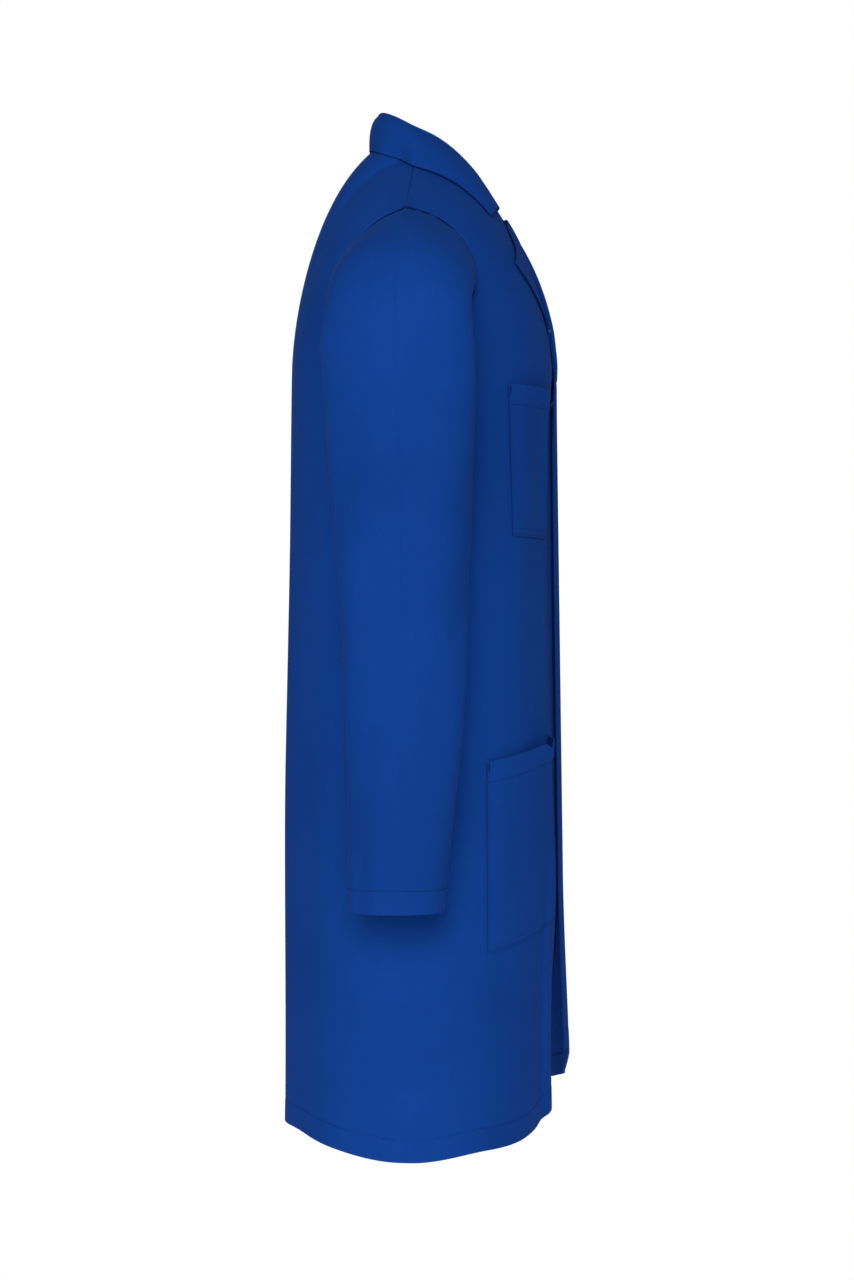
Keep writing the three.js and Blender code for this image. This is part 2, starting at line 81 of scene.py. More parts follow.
BACK_NECK_RISE = 21.0
NECK_S = 0.6  # s where the back's shoulder seam meets the neck
QUARTER = 300.0  # cloth from side seam to middle, so s times this is millimetres
OVERLAP = 20.0  # how far each front runs past the middle
EDGE_S = 1 + OVERLAP / QUARTER
FRONT_LAYERS = 5.0  # less than in the CAD, whose cloth is thicker
ARM_HALF = np.array([66.0, 65.5])  # armhole half depth and half height
ARM_YZ = np.array([2.0, -134.0])
SLEEVE_IN = 220.6
UNDERARM_DROP = 7.5
UNDERARM_Z = ARM_YZ[1] - ARM_HALF[1] - UNDERARM_DROP
SLEEVE_Y = 5.0
SLEEVE_DEPTH = (148.0, 89.0)  # at the top of the tube and at the cuff
SLEEVE_WIDTH = (84.0, 68.0)
CUFF_CLEARANCE = 26.0
MID_ARM_Z = -318.0
ELBOW_Z = -402.0
CLOTH = 0.8  # one layer as drawn
RIGHT, LEFT = -1, 1
FRONT, BACK = -1, 1


def lerp(a, b, k):
    return a + (b - a) * k


def smooth(x, a, b):
    """0 up to a, 1 from b, and an even curve between them."""
    k = np.clip((np.asarray(x, float) - a) / (b - a), 0, 1)
    return k * k * (3 - 2 * k)


def bump(x, at, width):
    """A round hill of height 1 at x = at."""
    return np.exp(-((np.asarray(x, float) - at) / width) ** 2)


# ---- the body's cloth surface ----
def _arc():
    """Share of a quarter's cloth length against the angle round the mean section."""
    th = np.radians(np.linspace(0, 90, 721))
    a = (HEM_HALF_WIDTH + CHEST_HALF_WIDTH) / 2
    b = (HEM_BACK_DEPTH + CHEST_BACK_DEPTH) / 2
    x = a * np.cos(th) ** (2 / SECTION_POWER)
    y = b * np.sin(th) ** (2 / SECTION_POWER)
    step = np.hypot(np.diff(x), np.diff(y))
    run = np.concatenate([[0], np.cumsum(step)])
    return run / run[-1], th


ARC_RUN, ARC_TH = _arc()


def angle_of(s):
    """Angle round the section at s; past the middle it runs on round the other side."""
    s = np.asarray(s, float)
    over = s > 1
    th = np.interp(np.where(over, 2 - s, np.maximum(s, 0)), ARC_RUN, ARC_TH)
    return np.where(over, np.pi - th, th)


def half_width(z):
    return lerp(CHEST_HALF_WIDTH, HEM_HALF_WIDTH, (BREAK_Z - z) / (BREAK_Z - HEM_Z))


DEPTHS = {BACK: (CHEST_BACK_DEPTH, HEM_BACK_DEPTH), FRONT: (CHEST_FRONT_DEPTH, HEM_FRONT_DEPTH)}


def ring(sx, face, z, s):
    """The level section of the body at height z."""
    k = (BREAK_Z - z) / (BREAK_Z - HEM_Z)
    near, far = DEPTHS[face]
    th = angle_of(s)
    c, sn = np.cos(th), np.sin(th)
    x = np.sign(c) * half_width(z) * np.abs(c) ** (2 / SECTION_POWER)
    y = lerp(near, far, k) * np.abs(sn) ** (2 / SECTION_POWER)
    return np.stack(np.broadcast_arrays(sx * x, face * y, z + 0 * x), -1)


def top_point(face, s):
    """The upper edge of a panel: shoulder seam, then the back's neck curve."""
    turn = EDGE_S if face < 0 else NECK_S
    q = np.minimum(s / turn, 1)[..., None]
    seam = SHOULDER + (NECK_SIDE - SHOULDER) * q
    if face < 0:
        return seam
    w = np.radians(90 * np.clip((s - turn) / (1 - turn), 0, 1))
    neck = np.stack([
        NECK_SIDE[0] * np.cos(w),
        NECK_SIDE[1] + BACK_NECK_DEPTH * np.sin(w),
        BACK_NECK_RISE * np.sin(w),
    ], -1)
    return np.where((s > turn)[..., None], neck, seam)


def tuck(s, t):
    """How far the right front goes in under the left one."""
    return FRONT_LAYERS * smooth(s, 0.8, 0.93) * (1 - smooth(t, 0.3, 0.65))


def loft(sx, face, t, s):
    """The body above the lapel break, t from 0 there to 1 at the shoulder seam."""
    t, s = np.broadcast_arrays(np.asarray(t, float), np.asarray(s, float))
    a, b = ring(1, face, BREAK_Z, s), top_point(face, s)
    h00, h10 = 2 * t**3 - 3 * t**2 + 1, t**3 - 2 * t**2 + t
    h01, h11 = 3 * t**2 - 2 * t**3, t**3 - t**2
    lift = 20 + (120 * smooth(s, NECK_S, 1) if face > 0 else 0)
    d = b - a
    x = a[..., 0] * h00 + b[..., 0] * h01 + d[..., 0] * h11
    y = a[..., 1] * h00 + b[..., 1] * h01 + 1.95 * d[..., 1] * h11
    z = a[..., 2] * h00 + b[..., 2] * h01 + 1.1 * d[..., 2] * h10 + lift * h11
    if face < 0 and sx < 0:
        y = y + tuck(s, t)
    return np.stack([sx * x, y, z], -1)


def body_point(sx, face, h, s):
    """h up to 0 is millimetres below the lapel break, above 0 it runs to 1 at the shoulder."""
    h, s = np.broadcast_arrays(np.asarray(h, float), np.asarray(s, float))
    low = ring(sx, face, BREAK_Z + np.minimum(h, 0), s)
    if face < 0 and sx < 0:
        low[..., 1] += tuck(s, 0)
    return np.where((h <= 0)[..., None], low, loft(sx, face, np.clip(h, 0, 1), s))


def unit(v):
    return v / np.maximum(np.linalg.norm(v, axis=-1, keepdims=True), 1e-9)


def body_normal(sx, face, h, s):
    h, s = np.broadcast_arrays(np.asarray(h, float), np.asarray(s, float))
    top = EDGE_S if face < 0 else 1.0
    s0, s1 = np.clip(s - 0.01, 0, top), np.clip(s + 0.01, 0, top)
    below = h <= 0
    h0 = np.where(below, h - 3, np.maximum(h - 0.015, 0))
    h1 = np.where(below, np.minimum(h + 3, 0), np.minimum(h + 0.015, 1))
    h0 = np.where(below & (h > -0.5), h - 3, h0)
    ds = body_point(sx, face, h, s1) - body_point(sx, face, h, s0)
    dh = body_point(sx, face, h1, s) - body_point(sx, face, h0, s)
    n = unit(np.cross(ds, dh))
    p = body_point(sx, face, h, s)
    away = p[..., 0] * n[..., 0] + p[..., 1] * n[..., 1] + 40 * n[..., 2] * (h > 0.3)
    return n * np.where(away < 0, -1, 1)[..., None]


def back_folds(sx, s, z, drop, hang):
    """Long waves below the shoulder, a ridge and a hollow under the arm, a hem drawn in."""
    phase = 0 if sx < 0 else 1.3
    out = 2.2 * hang * np.sin(2 * np.pi * (s * 2.1 + 0.15 * drop) + phase)
    out += 1.6 * hang * np.sin(2 * np.pi * (s * 3.4 - 0.1 * drop) + 2.1 + phase)
    out += 2.0 * bump(s, 0.30, 0.07) * bump(z, -330, 120) * (1 if sx < 0 else 0.7)
    out -= 2.4 * bump(s, 0.16, 0.06) * bump(z, -300, 90)
    out = out * (1 - smooth(z, -330, -205)) - 4.0 * smooth(-z, 600, 950)
    return out * smooth(1.0 - s, 0, 0.08) * smooth(s, 0, 0.09)


CREST_S = 0.63  # the sharp fold down each front, at the pockets' front part


def front_folds(sx, s, z, drop, hang):
    """A crest down each front with hollows beside it, and a lower edge that hangs in or out."""
    below = smooth(-z, 200, 290)
    out = -1.0 * bump(s, 0.84, 0.10) * below
    out += 2.8 * np.exp(-np.abs(s - CREST_S) / 0.055) * below
    hollow = smooth(s, 0.40, 0.60) * (1 - smooth(s, 0.78, 0.97))
    out -= (2.2 + 3.2 * bump(z, -410, 170)) * hollow * below
    if sx < 0:
        past_crest = smooth(s, 0.655, 0.74) * (1 - smooth(s, 0.88, 0.98))
        out -= 3.4 * past_crest * below * (1 - smooth(-z, 620, 720))
        out -= 10.0 * smooth(s, 0.68, 0.90) * smooth(-z, 735, 950)
        out -= 4.5 * smooth(s, 0.35, 0.60) * smooth(-z, 700, 900)
    else:
        out += 4.5 * smooth(s, 0.5, 0.9) * smooth(-z, 720, 950)
        out -= 2.6 * smooth(s, EDGE_S - 0.045, EDGE_S) * smooth(-z, 222, 300)
    amp = 1.0 if sx < 0 else 0.8
    out += amp * 2.6 * bump(s, 0.66, 0.035) * smooth(-z, 560, 700)
    out -= amp * 2.2 * bump(s, 0.585, 0.04) * smooth(-z, 600, 760)
    side_part = smooth(s, 0, 0.1) * (1 - smooth(s, 0.5, 0.62))
    out += 1.8 * hang * np.sin(2 * np.pi * (s * 1.8 - 0.12 * drop) + 0.6) * side_part
    out -= 3.0 * bump(s, 0.22, 0.08) * bump(z, -230, 70)
    return out * smooth(s, 0, 0.05) * (1 - smooth(z, -250, -190) * (1 - smooth(s, 0.5, 0.7)))


def folds(sx, face, s, z):
    """Soft folds of the hanging cloth, outward in millimetres."""
    drop = np.clip((BREAK_Z - z) / (BREAK_Z - HEM_Z), 0, 1)
    hang = smooth(drop, 0.02, 0.6)
    return (back_folds if face > 0 else front_folds)(sx, s, z, drop, hang)


def cloth(sx, face, h, s, off=0.0):
    """Point and outward normal on the draped body surface, off millimetres proud of it."""
    p, n = body_point(sx, face, h, s), body_normal(sx, face, h, s)
    lift = folds(sx, face, np.asarray(s, float), p[..., 2]) + off
    return p + n * np.asarray(lift)[..., None], n


SIDE_HEM_RISE = 9.0  # part of the front hem's rise that comes close to the side seam
BACK_HEM_RISE = 18.0


def low_edge(face, s):
    """h of the hem at s; the front rises to the closing edge and stays level past the middle."""
    s = np.asarray(s, float)
    if face < 0:
        x = np.where(s > 1, 0, np.abs(ring(1, face, HEM_Z, s)[..., 0]))
        inward = 1 - np.minimum(x / HEM_HALF_WIDTH, 1)
        rise = (FRONT_HEM_RISE - SIDE_HEM_RISE) * inward**2 + SIDE_HEM_RISE * smooth(s, 0.02, 0.26)
    else:
        rise = BACK_HEM_RISE * smooth(s, 0.0, 0.5)
    return HEM_Z + rise - BREAK_Z


def h_of(z):
    return z - BREAK_Z


def arm_edge(face, t):
    """The first s outside the armhole oval on the row t, for an array of t."""
    t = np.atleast_1d(np.asarray(t, float))
    lo, hi = np.zeros_like(t), np.full_like(t, 0.6)

    def out(s):
        q = (loft(1, face, t, s)[..., 1:] - ARM_YZ) / ARM_HALF
        return q[..., 0] ** 2 + q[..., 1] ** 2 - 1
    inside = out(lo) < 0
    for _ in range(44):
        mid = (lo + hi) / 2
        cut = out(mid) < 0
        lo, hi = np.where(cut, mid, lo), np.where(cut, hi, mid)
    return np.where(inside, hi, 0.0)


# ---- mesh helpers ----
def smooth_normals(P, wrap=False):
    du = np.gradient(P, axis=0)
    if wrap:
        dv = (np.roll(P, -1, 1) - np.roll(P, 1, 1)) / 2
    else:
        dv = np.gradient(P, axis=1)
    return unit(np.cross(du, dv))


def add_mesh(name, verts, faces, uvs, material, sharp=None):
    """verts in millimetres; uvs one per vertex, in metres of cloth."""
    me = bpy.data.meshes.new(name)
    me.from_pydata((np.asarray(verts) * 0.001).tolist(), [], faces)
    me.update()
    if uvs is not None:
        layer = me.uv_layers.new(name="cloth")
        index = np.zeros(len(me.loops), np.int32)
        me.loops.foreach_get("vertex_index", index)
        layer.data.foreach_set("uv", np.asarray(uvs, np.float32)[index].ravel())
    me.polygons.foreach_set("use_smooth", [True] * len(me.polygons))
    if sharp:
        attr = me.attributes.new("sharp_edge", "BOOLEAN", "EDGE")
        keys = {tuple(sorted(k)) for k in sharp}
        flags = [tuple(sorted(e.vertices)) in keys for e in me.edges]
        attr.data.foreach_set("value", flags)
    ob = bpy.data.objects.new(name, me)
    bpy.context.scene.collection.objects.link(ob)
    me.materials.append(material)
    return ob


def cloth_run(P, axis):
    """Mean length of cloth from the first row or column of P to each one."""
    step = np.linalg.norm(np.diff(P, axis=axis), axis=-1).mean(1 - axis)
    return np.concatenate([[0], np.cumsum(step)])


def shell(name, P, material, thick=CLOTH, wrap=False, out=None, uv=None):
    """A closed thin cloth over the grid P (nu, nv, 3), with P as its outer face.

    thick may vary over the grid, wrap closes the grid round its columns, and out(P)
    points outward where the way from the coat's axis doesn't.
    """
    nu, nv = P.shape[:2]
    n = smooth_normals(P, wrap)
    if out is not None:
        flip = np.sum(n * out(P), -1).mean() < 0
    else:
        flip = np.sum(n[..., :2] * P[..., :2], -1).mean() < 0
    if flip:
        n = -n
    inner = P - n * np.broadcast_to(np.asarray(thick, float), (nu, nv))[..., None]
    verts = np.concatenate([P.reshape(-1, 3), inner.reshape(-1, 3)])
    if uv is None:
        closed = np.concatenate([P, P[:, :1]], 1) if wrap else P
        uv = np.stack(np.meshgrid(cloth_run(closed, 1)[:nv], cloth_run(P, 0)), -1) * 0.001
    uvs = np.concatenate([uv.reshape(-1, 2)] * 2)
    size = nu * nv

    def vid(side, i, j):
        return side * size + i * nv + (j % nv if wrap else j)

    def has(i, j):
        return 0 <= i < nu - 1 and (wrap or 0 <= j < nv - 1)
    faces, sharp = [], []

    def quad(a, b, c, d):
        faces.append((a, d, c, b) if flip else (a, b, c, d))
    for i in range(nu - 1):
        for j in range(nv if wrap else nv - 1):
            if not has(i, j):
                continue
            quad(vid(0, i, j), vid(0, i + 1, j), vid(0, i + 1, j + 1), vid(0, i, j + 1))
            quad(vid(1, i, j + 1), vid(1, i + 1, j + 1), vid(1, i + 1, j), vid(1, i, j))
            for ok, a, b in (
                (has(i - 1, j), (i, j + 1), (i, j)),
                (has(i + 1, j), (i + 1, j), (i + 1, j + 1)),
                (has(i, j - 1), (i, j), (i + 1, j)),
                (has(i, j + 1), (i + 1, j + 1), (i, j + 1)),
            ):
                if ok:
                    continue
                a0, a1, b0, b1 = vid(0, *a), vid(1, *a), vid(0, *b), vid(1, *b)
                quad(a0, a1, b1, b0)
                sharp += [(a0, b0), (a1, b1)]
    return add_mesh(name, verts, faces, uvs, material, sharp)


def steps(a, b, n, dense=()):
    """n even steps from a up to b, with the values in dense added."""
    xs = np.concatenate([np.linspace(a, b, n + 1), [d for d in dense if a < d < b]])
    xs = np.unique(np.round(xs, 6))
    keep = [xs[0]]
    for x in xs[1:]:
        if x - keep[-1] > (b - a) * 1e-4:
            keep.append(x)
    keep[-1] = b
    return np.array(keep)


THREADS = {}
THREAD_SINK = 0.3  # how deep a stitch's underside lies in the cloth
# (place along the stitch as a share of its length, rise, share of its full width)
STITCH_SHAPE = ((-0.5, -0.12, 0.3), (-0.28, 0.24, 1), (0.28, 0.24, 1), (0.5, -0.12, 0.3))


def stitch(group, points, normals, pitch=3.0, length=2.1, width=0.42):
    """A row of thread stitches along a path on the cloth, kept for one mesh a group."""
    seg = np.linalg.norm(np.diff(points, axis=0), axis=1)
    run = np.concatenate([[0], np.cumsum(seg)])
    count = int(run[-1] // pitch)
    if count < 1:
        return
    at = (np.arange(count) + 0.5) * pitch
    mids = np.stack([np.interp(at, run, points[:, k]) for k in range(3)], -1)
    ahead = np.stack([np.interp(at + 0.5, run, points[:, k]) for k in range(3)], -1)
    back = np.stack([np.interp(at - 0.5, run, points[:, k]) for k in range(3)], -1)
    ups = unit(np.stack([np.interp(at, run, normals[:, k]) for k in range(3)], -1))
    along = unit(ahead - back)
    side = unit(np.cross(along, ups))
    verts, faces = THREADS.setdefault(group, ([], []))
    for m, d, u, w in zip(mids, along, ups, side):
        base = len(verts)
        for k, lift, wide in STITCH_SHAPE:
            c = m + d * (length * k)
            verts.append(c + w * (width * wide / 2) + u * (lift * 0.4))
            verts.append(c + u * lift)
            verts.append(c - w * (width * wide / 2) + u * (lift * 0.4))
            verts.append(c - u * THREAD_SINK)
        for r in range(3):
            for k in range(4):
                a, b = base + 4 * r + k, base + 4 * r + (k + 1) % 4
                faces.append((a, b, b + 4, a + 4))
        faces.append((base + 3, base + 2, base + 1, base))
        faces.append((base + 12, base + 13, base + 14, base + 15))


# ---- materials ----
def principled(name, rough, specular):
    mat = bpy.data.materials.new(name)
    mat.use_nodes = True
    tree = mat.node_tree
    shader = tree.nodes["Principled BSDF"]
    shader.inputs["Roughness"].default_value = rough
    shader.inputs["Specular IOR Level"].default_value = specular
    return mat, tree, shader


def stretched(tree, source, scale=(1, 1, 1), turn=0.0):
    node = tree.nodes.new("ShaderNodeMapping")
    node.inputs["Scale"].default_value = scale
    node.inputs["Rotation"].default_value = (0, 0, math.radians(turn))
    tree.links.new(source, node.inputs["Vector"])
    return node.outputs["Vector"]


def noise(tree, source, scale, detail=2.0):
    node = tree.nodes.new("ShaderNodeTexNoise")
    node.inputs["Scale"].default_value = scale
    node.inputs["Detail"].default_value = detail
    tree.links.new(source, node.inputs["Vector"])
    return node.outputs["Fac"]


def colours(tree, source, low, high, ends=(0.0, 1.0)):
    node = tree.nodes.new("ShaderNodeValToRGB")
    for stop, at, colour in zip(node.color_ramp.elements, ends, (low, high)):
        stop.position = at
        stop.color = (*colour, 1)
    tree.links.new(source, node.inputs["Fac"])
    return node.outputs["Color"]


def multiplied(tree, a, b):
    node = tree.nodes.new("ShaderNodeMix")
    node.data_type = "RGBA"
    node.blend_type = "MULTIPLY"
    factor, first, second, result = 0, 6, 7, 2  # sockets of the node's colour form
    node.inputs[factor].default_value = 1.0
    tree.links.new(a, node.inputs[first])
    tree.links.new(b, node.inputs[second])
    return node.outputs[result]


def rough_between(tree, source, shader, low, high):
    node = tree.nodes.new("ShaderNodeMapRange")
    node.inputs["To Min"].default_value = low
    node.inputs["To Max"].default_value = high
    tree.links.new(source, node.inputs["Value"])
    tree.links.new(node.outputs["Result"], shader.inputs["Roughness"])


def raised(tree, height, strength, distance, under=None):
    node = tree.nodes.new("ShaderNodeBump")
    node.inputs["Strength"].default_value = strength
    node.inputs["Distance"].default_value = distance
    tree.links.new(height, node.inputs["Height"])
    if under:
        tree.links.new(under, node.inputs["Normal"])
    return node.outputs["Normal"]


def wales(tree, cloth_uv):
    """The twill's fine slanting ribs."""
    node = tree.nodes.new("ShaderNodeTexWave")
    node.wave_type = "BANDS"
    node.inputs["Scale"].default_value = 390.0
    node.inputs["Distortion"].default_value = 0.6
    node.inputs["Detail"].default_value = 1.0
    node.inputs["Detail Scale"].default_value = 2.0
    tree.links.new(stretched(tree, cloth_uv, turn=63), node.inputs["Vector"])
    return node.outputs["Fac"]


def twill(name, light, dark):
    """Blue polyester and cotton twill: fine diagonal wales, slub and a faint cloudy shade."""
    mat, tree, shader = principled(name, 0.85, 0.04)
    shader.inputs["Sheen Weight"].default_value = 0.03
    shader.inputs["Sheen Roughness"].default_value = 0.45
    shader.inputs["Sheen Tint"].default_value = (0.10, 0.42, 1.0, 1.0)
    uv = tree.nodes.new("ShaderNodeUVMap")
    uv.uv_map = "cloth"
    cloth_uv = uv.outputs["UV"]
    place = tree.nodes.new("ShaderNodeTexCoord").outputs["Object"]
    wale = wales(tree, cloth_uv)
    slub = noise(tree, stretched(tree, cloth_uv, (1.0, 0.12, 1.0)), 900.0)
    shade = colours(tree, noise(tree, place, 7.0, 3.0), dark, light, (0.32, 0.68))
    yarn = colours(tree, slub, (0.86, 0.87, 0.89), (1.08, 1.07, 1.06))
    ribs = colours(tree, wale, (0.90, 0.90, 0.91), (1.05, 1.05, 1.05))
    colour = multiplied(tree, multiplied(tree, shade, yarn), ribs)
    tree.links.new(colour, shader.inputs["Base Color"])
    rough_between(tree, slub, shader, 0.70, 0.86)
    height = tree.nodes.new("ShaderNodeMath")
    height.operation = "ADD"
    tree.links.new(wale, height.inputs[0])
    tree.links.new(slub, height.inputs[1])
    grain = raised(tree, height.outputs["Value"], 0.35, 0.00025)
    crumple = noise(tree, stretched(tree, place, (1.0, 1.0, 0.45)), 38.0, 3.0)
    tree.links.new(raised(tree, crumple, 0.22, 0.0022, under=grain), shader.inputs["Normal"])
    return mat


def steel(name):
    mat, tree, shader = principled(name, 0.32, 0.5)
    shader.inputs["Metallic"].default_value = 1.0
    place = tree.nodes.new("ShaderNodeTexCoord").outputs["Object"]
    scuff = noise(tree, place, 420.0, 4.0)
    colour = colours(tree, scuff, (0.50, 0.51, 0.53), (0.74, 0.75, 0.77))
    tree.links.new(colour, shader.inputs["Base Color"])
    rough_between(tree, scuff, shader, 0.22, 0.45)
    return mat


# Thread tone: its own blue, set darker than the cloth as painted shade along stitch rows and pocket edges.
def thread_material(name, tone):
    mat, tree, shader = principled(name, 0.8, 0.08)
    shader.inputs["Sheen Weight"].default_value = 0.02
    place = tree.nodes.new("ShaderNodeTexCoord").outputs["Object"]
    low, high = [c * 0.8 for c in tone], [c * 1.15 for c in tone]
    colour = colours(tree, noise(tree, place, 2500.0), low, high)
    tree.links.new(colour, shader.inputs["Base Color"])
    return mat


COAT = twill("coat_twill", light=(0.0060, 0.059, 0.330), dark=(0.0050, 0.050, 0.285))
LINER = twill("fly_twill", light=(0.008, 0.050, 0.27), dark=(0.006, 0.040, 0.22))
STEEL = steel("press_stud_steel")
# The thread's dark navy is partly its own colour and partly painted shade, so the stitch rows and pocket
# edges read as dark shadowed lines.
THREAD_WITH_PAINTED_SHADE = thread_material("blue_thread_painted_shade", (0.003, 0.016, 0.085))


# ---- what each piece is tied to ----
def done(ob, body, nodes=(), blend=None):
    """Ties a piece to its body, or with a blend only bakes its transform where it stands, and hides the
    CAD nodes it stands for.
    """
    if nodes:
        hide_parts(*nodes)
    if blend:
        a, b, start, end = blend
        tuple(v * 0.001 for v in start)
        tuple(v * 0.001 for v in end)
        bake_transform(ob)
    else:
        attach(ob, body)
    return ob


NAMES = {RIGHT: "right", LEFT: "left"}
# Ends of a slanting band from the side of the hem up to the closing edge, given to done as the fronts'
# blend, which only bakes the pieces in place.
FOLD_NORMAL = np.array([-0.915, 0.0, -0.403])
FOLD_START = np.array([HEM_HALF_WIDTH, 0.0, HEM_Z])
FOLD_REACH = 120.0
SHOULDER_BLEND = np.array([[214.0, 2.0, -134.0], [262.0, 2.0, -168.0]])
ELBOW = np.array([275.0, 4.0, ELBOW_Z])
ELBOW_REACH = np.array([0, 0, 62.0])


def blended(a, b, start, end, sx):
    """What done takes as blend, from points given for the left side."""
    side = np.array([sx, 1, 1])
    return a, b, start * side, end * side


def front_blend(sx):
    end = FOLD_START + FOLD_NORMAL * FOLD_REACH
    return blended("upper_coat", f"{NAMES[sx]}_front_low", FOLD_START, end, sx)


def shoulder_blend(sx):
    return blended("upper_coat", f"{NAMES[sx]}_upper_arm", *SHOULDER_BLEND, sx)


def elbow_blend(sx):
    arm, forearm = f"{NAMES[sx]}_upper_arm", f"{NAMES[sx]}_forearm"
    return blended(arm, forearm, ELBOW + ELBOW_REACH, ELBOW - ELBOW_REACH, sx)


# ---- body panels ----
HEM_STITCH = 21.5  # height of the hem's stitching, and the edge of its second layer
HEM_DENSE = [2, 6, 12, 17, 20, 21, 22, 23, 26, 31, 38, 48]
SKIRT = BREAK_Z - HEM_Z
CELL = 7.5  # mesh cells on the panels
SEAM_OVERLAP = 0.04
DEEPEST_DIP = -1.4
SHOULDER_RIM = (0.1, -0.9, -1.3)  # the last three rows turn down into the shoulder seam
EDGE_STITCH = 45.0  # from the closing edge of the left front
THREAD_LIE = 0.1  # thread line above the cloth it is sewn to
HEM_THREAD_LIE = -0.25  # in the groove of stitch_dip


def hem_thick(mm_up):
    return CLOTH + CLOTH * (1 - smooth(mm_up, HEM_STITCH - 0.5, HEM_STITCH + 0.8))


def seam_dip(mm, depth=0.9):
    """The groove of a seam at mm = 0 and the soft ridge beside it."""
    mm = np.asarray(mm, float)
    return -depth * bump(mm, 0, 1.9) + 0.35 * depth * bump(mm, 5.0, 3.0)


def stitch_dip(mm, at):
    """The groove that a row of stitches draws in."""
    return -0.35 * bump(mm, at, 0.9)


def _arm_bottom_t():
    t = np.linspace(0, 1, 900)
    return float(np.interp(ARM_YZ[1] - ARM_HALF[1], loft(1, FRONT, t, 0.0)[:, 2], t))


ARM_BOTTOM_T = _arm_bottom_t()
CREST_COLUMNS = [0.60, 0.612, 0.621, 0.628, 0.634, 0.642, 0.652, 0.668]


def panel_grid(face):
    """h and s over rows from hem to shoulder and columns from side seam to middle."""
    top = EDGE_S if face < 0 else 1.0
    v_low = steps(0, 1, int(SKIRT / CELL), [d / SKIRT for d in HEM_DENSE])
    n_up = 40
    t_up = [ARM_BOTTOM_T * 0.5, ARM_BOTTOM_T * 0.999]
    t_up += [lerp(ARM_BOTTOM_T, 1, (1 - math.cos(math.pi * i / n_up)) / 2) for i in range(1, n_up + 1)]
    dense = [d / QUARTER for d in (1.2, 2.6, 5, 8)]
    dense += [top - d for d in dense]
    if face < 0:
        dense += CREST_COLUMNS
        dense += [EDGE_S - (EDGE_STITCH + d) / QUARTER for d in (-1, 1)]
    s = steps(0, top, int(QUARTER * top / CELL), dense)
    h_rows = []
    s_rows = []
    for v in v_low:
        h_rows.append((1 - v) * low_edge(face, s))
        s_rows.append(s)
    for t, e in zip(t_up, arm_edge(face, np.array(t_up))):
        h_rows.append(np.full_like(s, max(t, 1e-6)))
        s_rows.append(e + s * (1 - e / top))
    return np.array(h_rows), np.array(s_rows), s, top


def overlap_seams(P, sx, face):
    """Moves a panel just past its seam planes, so that no light shows between panels."""
    P[..., 1] -= face * SEAM_OVERLAP
    if face > 0:
        P[..., 0] -= sx * SEAM_OVERLAP
    return P


def panel_relief(sx, face, h, s, s_line, up, edge_mm):
    """Seam and stitch grooves, the hem's second layer and the rim at the shoulder."""
    off = seam_dip(s_line * QUARTER)[None, :] * np.where(h <= 0, 0.3, 1.0)
    if face > 0:
        off = off + seam_dip((1 - s_line) * QUARTER)[None, :] * (1 - smooth(h, 0.88, 0.97))
    off = off + stitch_dip(up, HEM_STITCH) + 0.25 * (1 - smooth(up, 20, 23))
    rim = np.zeros_like(h)
    rim[-3:] = np.array(SHOULDER_RIM)[:, None]
    off = off + rim * ((1 - smooth(s, 0.54, 0.60)) if face > 0 else 1.0)
    if face < 0 and sx > 0:
        off = off + 0.35 * (1 - smooth(edge_mm, 43, 46)) * (h <= 0)
        off = off + stitch_dip(edge_mm, EDGE_STITCH) * (h <= 0)
    return np.maximum(off, DEEPEST_DIP)


def body_panel(sx, face):
    h, s, s_line, top = panel_grid(face)
    up = np.where(h <= 0, h - low_edge(face, s), 900.0)  # above the hem; any far value higher up
    edge_mm = (top - s) * QUARTER
    P = cloth(sx, face, h, s, panel_relief(sx, face, h, s, s_line, up, edge_mm))[0]
    thick = hem_thick(up)
    if face < 0:
        thick = np.maximum(thick, CLOTH + 0.7 * (1 - smooth(edge_mm, 40, 48)))
    label = f"{NAMES[sx]}_{'front' if face < 0 else 'back'}_panel"
    uv = np.stack([s * QUARTER, np.where(h <= 0, h, h * 240)], -1) * 0.001
    ob = shell(label, overlap_seams(P, sx, face), COAT, thick, uv=uv)
    line = steps(0.004, top - 0.004, 90)
    Q, m = cloth(sx, face, low_edge(face, line) + HEM_STITCH, line, HEM_THREAD_LIE)
    stitch(label, overlap_seams(Q, sx, face), m)
    if face < 0 and sx > 0:
        line_h = np.linspace(float(low_edge(face, np.array(EDGE_S))) + 3, -6, 120)
        line_s = np.full_like(line_h, EDGE_S - EDGE_STITCH / QUARTER)
        Q, m = cloth(sx, face, line_h, line_s, THREAD_LIE)
        stitch(label, overlap_seams(Q, sx, face), m)
    return ob


for sx in (RIGHT, LEFT):
    for face in (BACK, FRONT):
        ob = body_panel(sx, face)
        side = NAMES[sx]
        if face > 0:
            done(ob, "upper_coat", [f"{side}_back"])
        else:
            done(ob, None, [f"{side}_front", f"{side}_front_skirt"], blend=front_blend(sx))


# ---- lapels ----
LAPEL_THICK = 0.9
LAPEL_FOOT_T = 0.004
LAPEL_TOP_T = 0.610
LAPEL_TIP_T = 0.455  # above the foot
LAPEL_TIP_S = 0.61
LAPEL_ROWS = np.linspace(0.012, 1, 64)[:, None]
LAPEL_COLUMNS = np.concatenate([
    [0, 0.012, 0.03, 0.055, 0.09, 0.14],
    np.linspace(0.2, 0.9, 12),
    [0.95, 0.975, 1.0],
])[None, :]


def lapel_ts(p, q):
    """Where the turned back cloth lies: p from the break up, q from the roll line outward."""
    roll_t = LAPEL_FOOT_T + (LAPEL_TOP_T - LAPEL_FOOT_T) * p
    t = lerp(roll_t, LAPEL_FOOT_T + LAPEL_TIP_T * p, q)
    edge = lerp(EDGE_S, LAPEL_TIP_S, p**0.92)
    s = lerp(EDGE_S, edge, q)
    return t, s


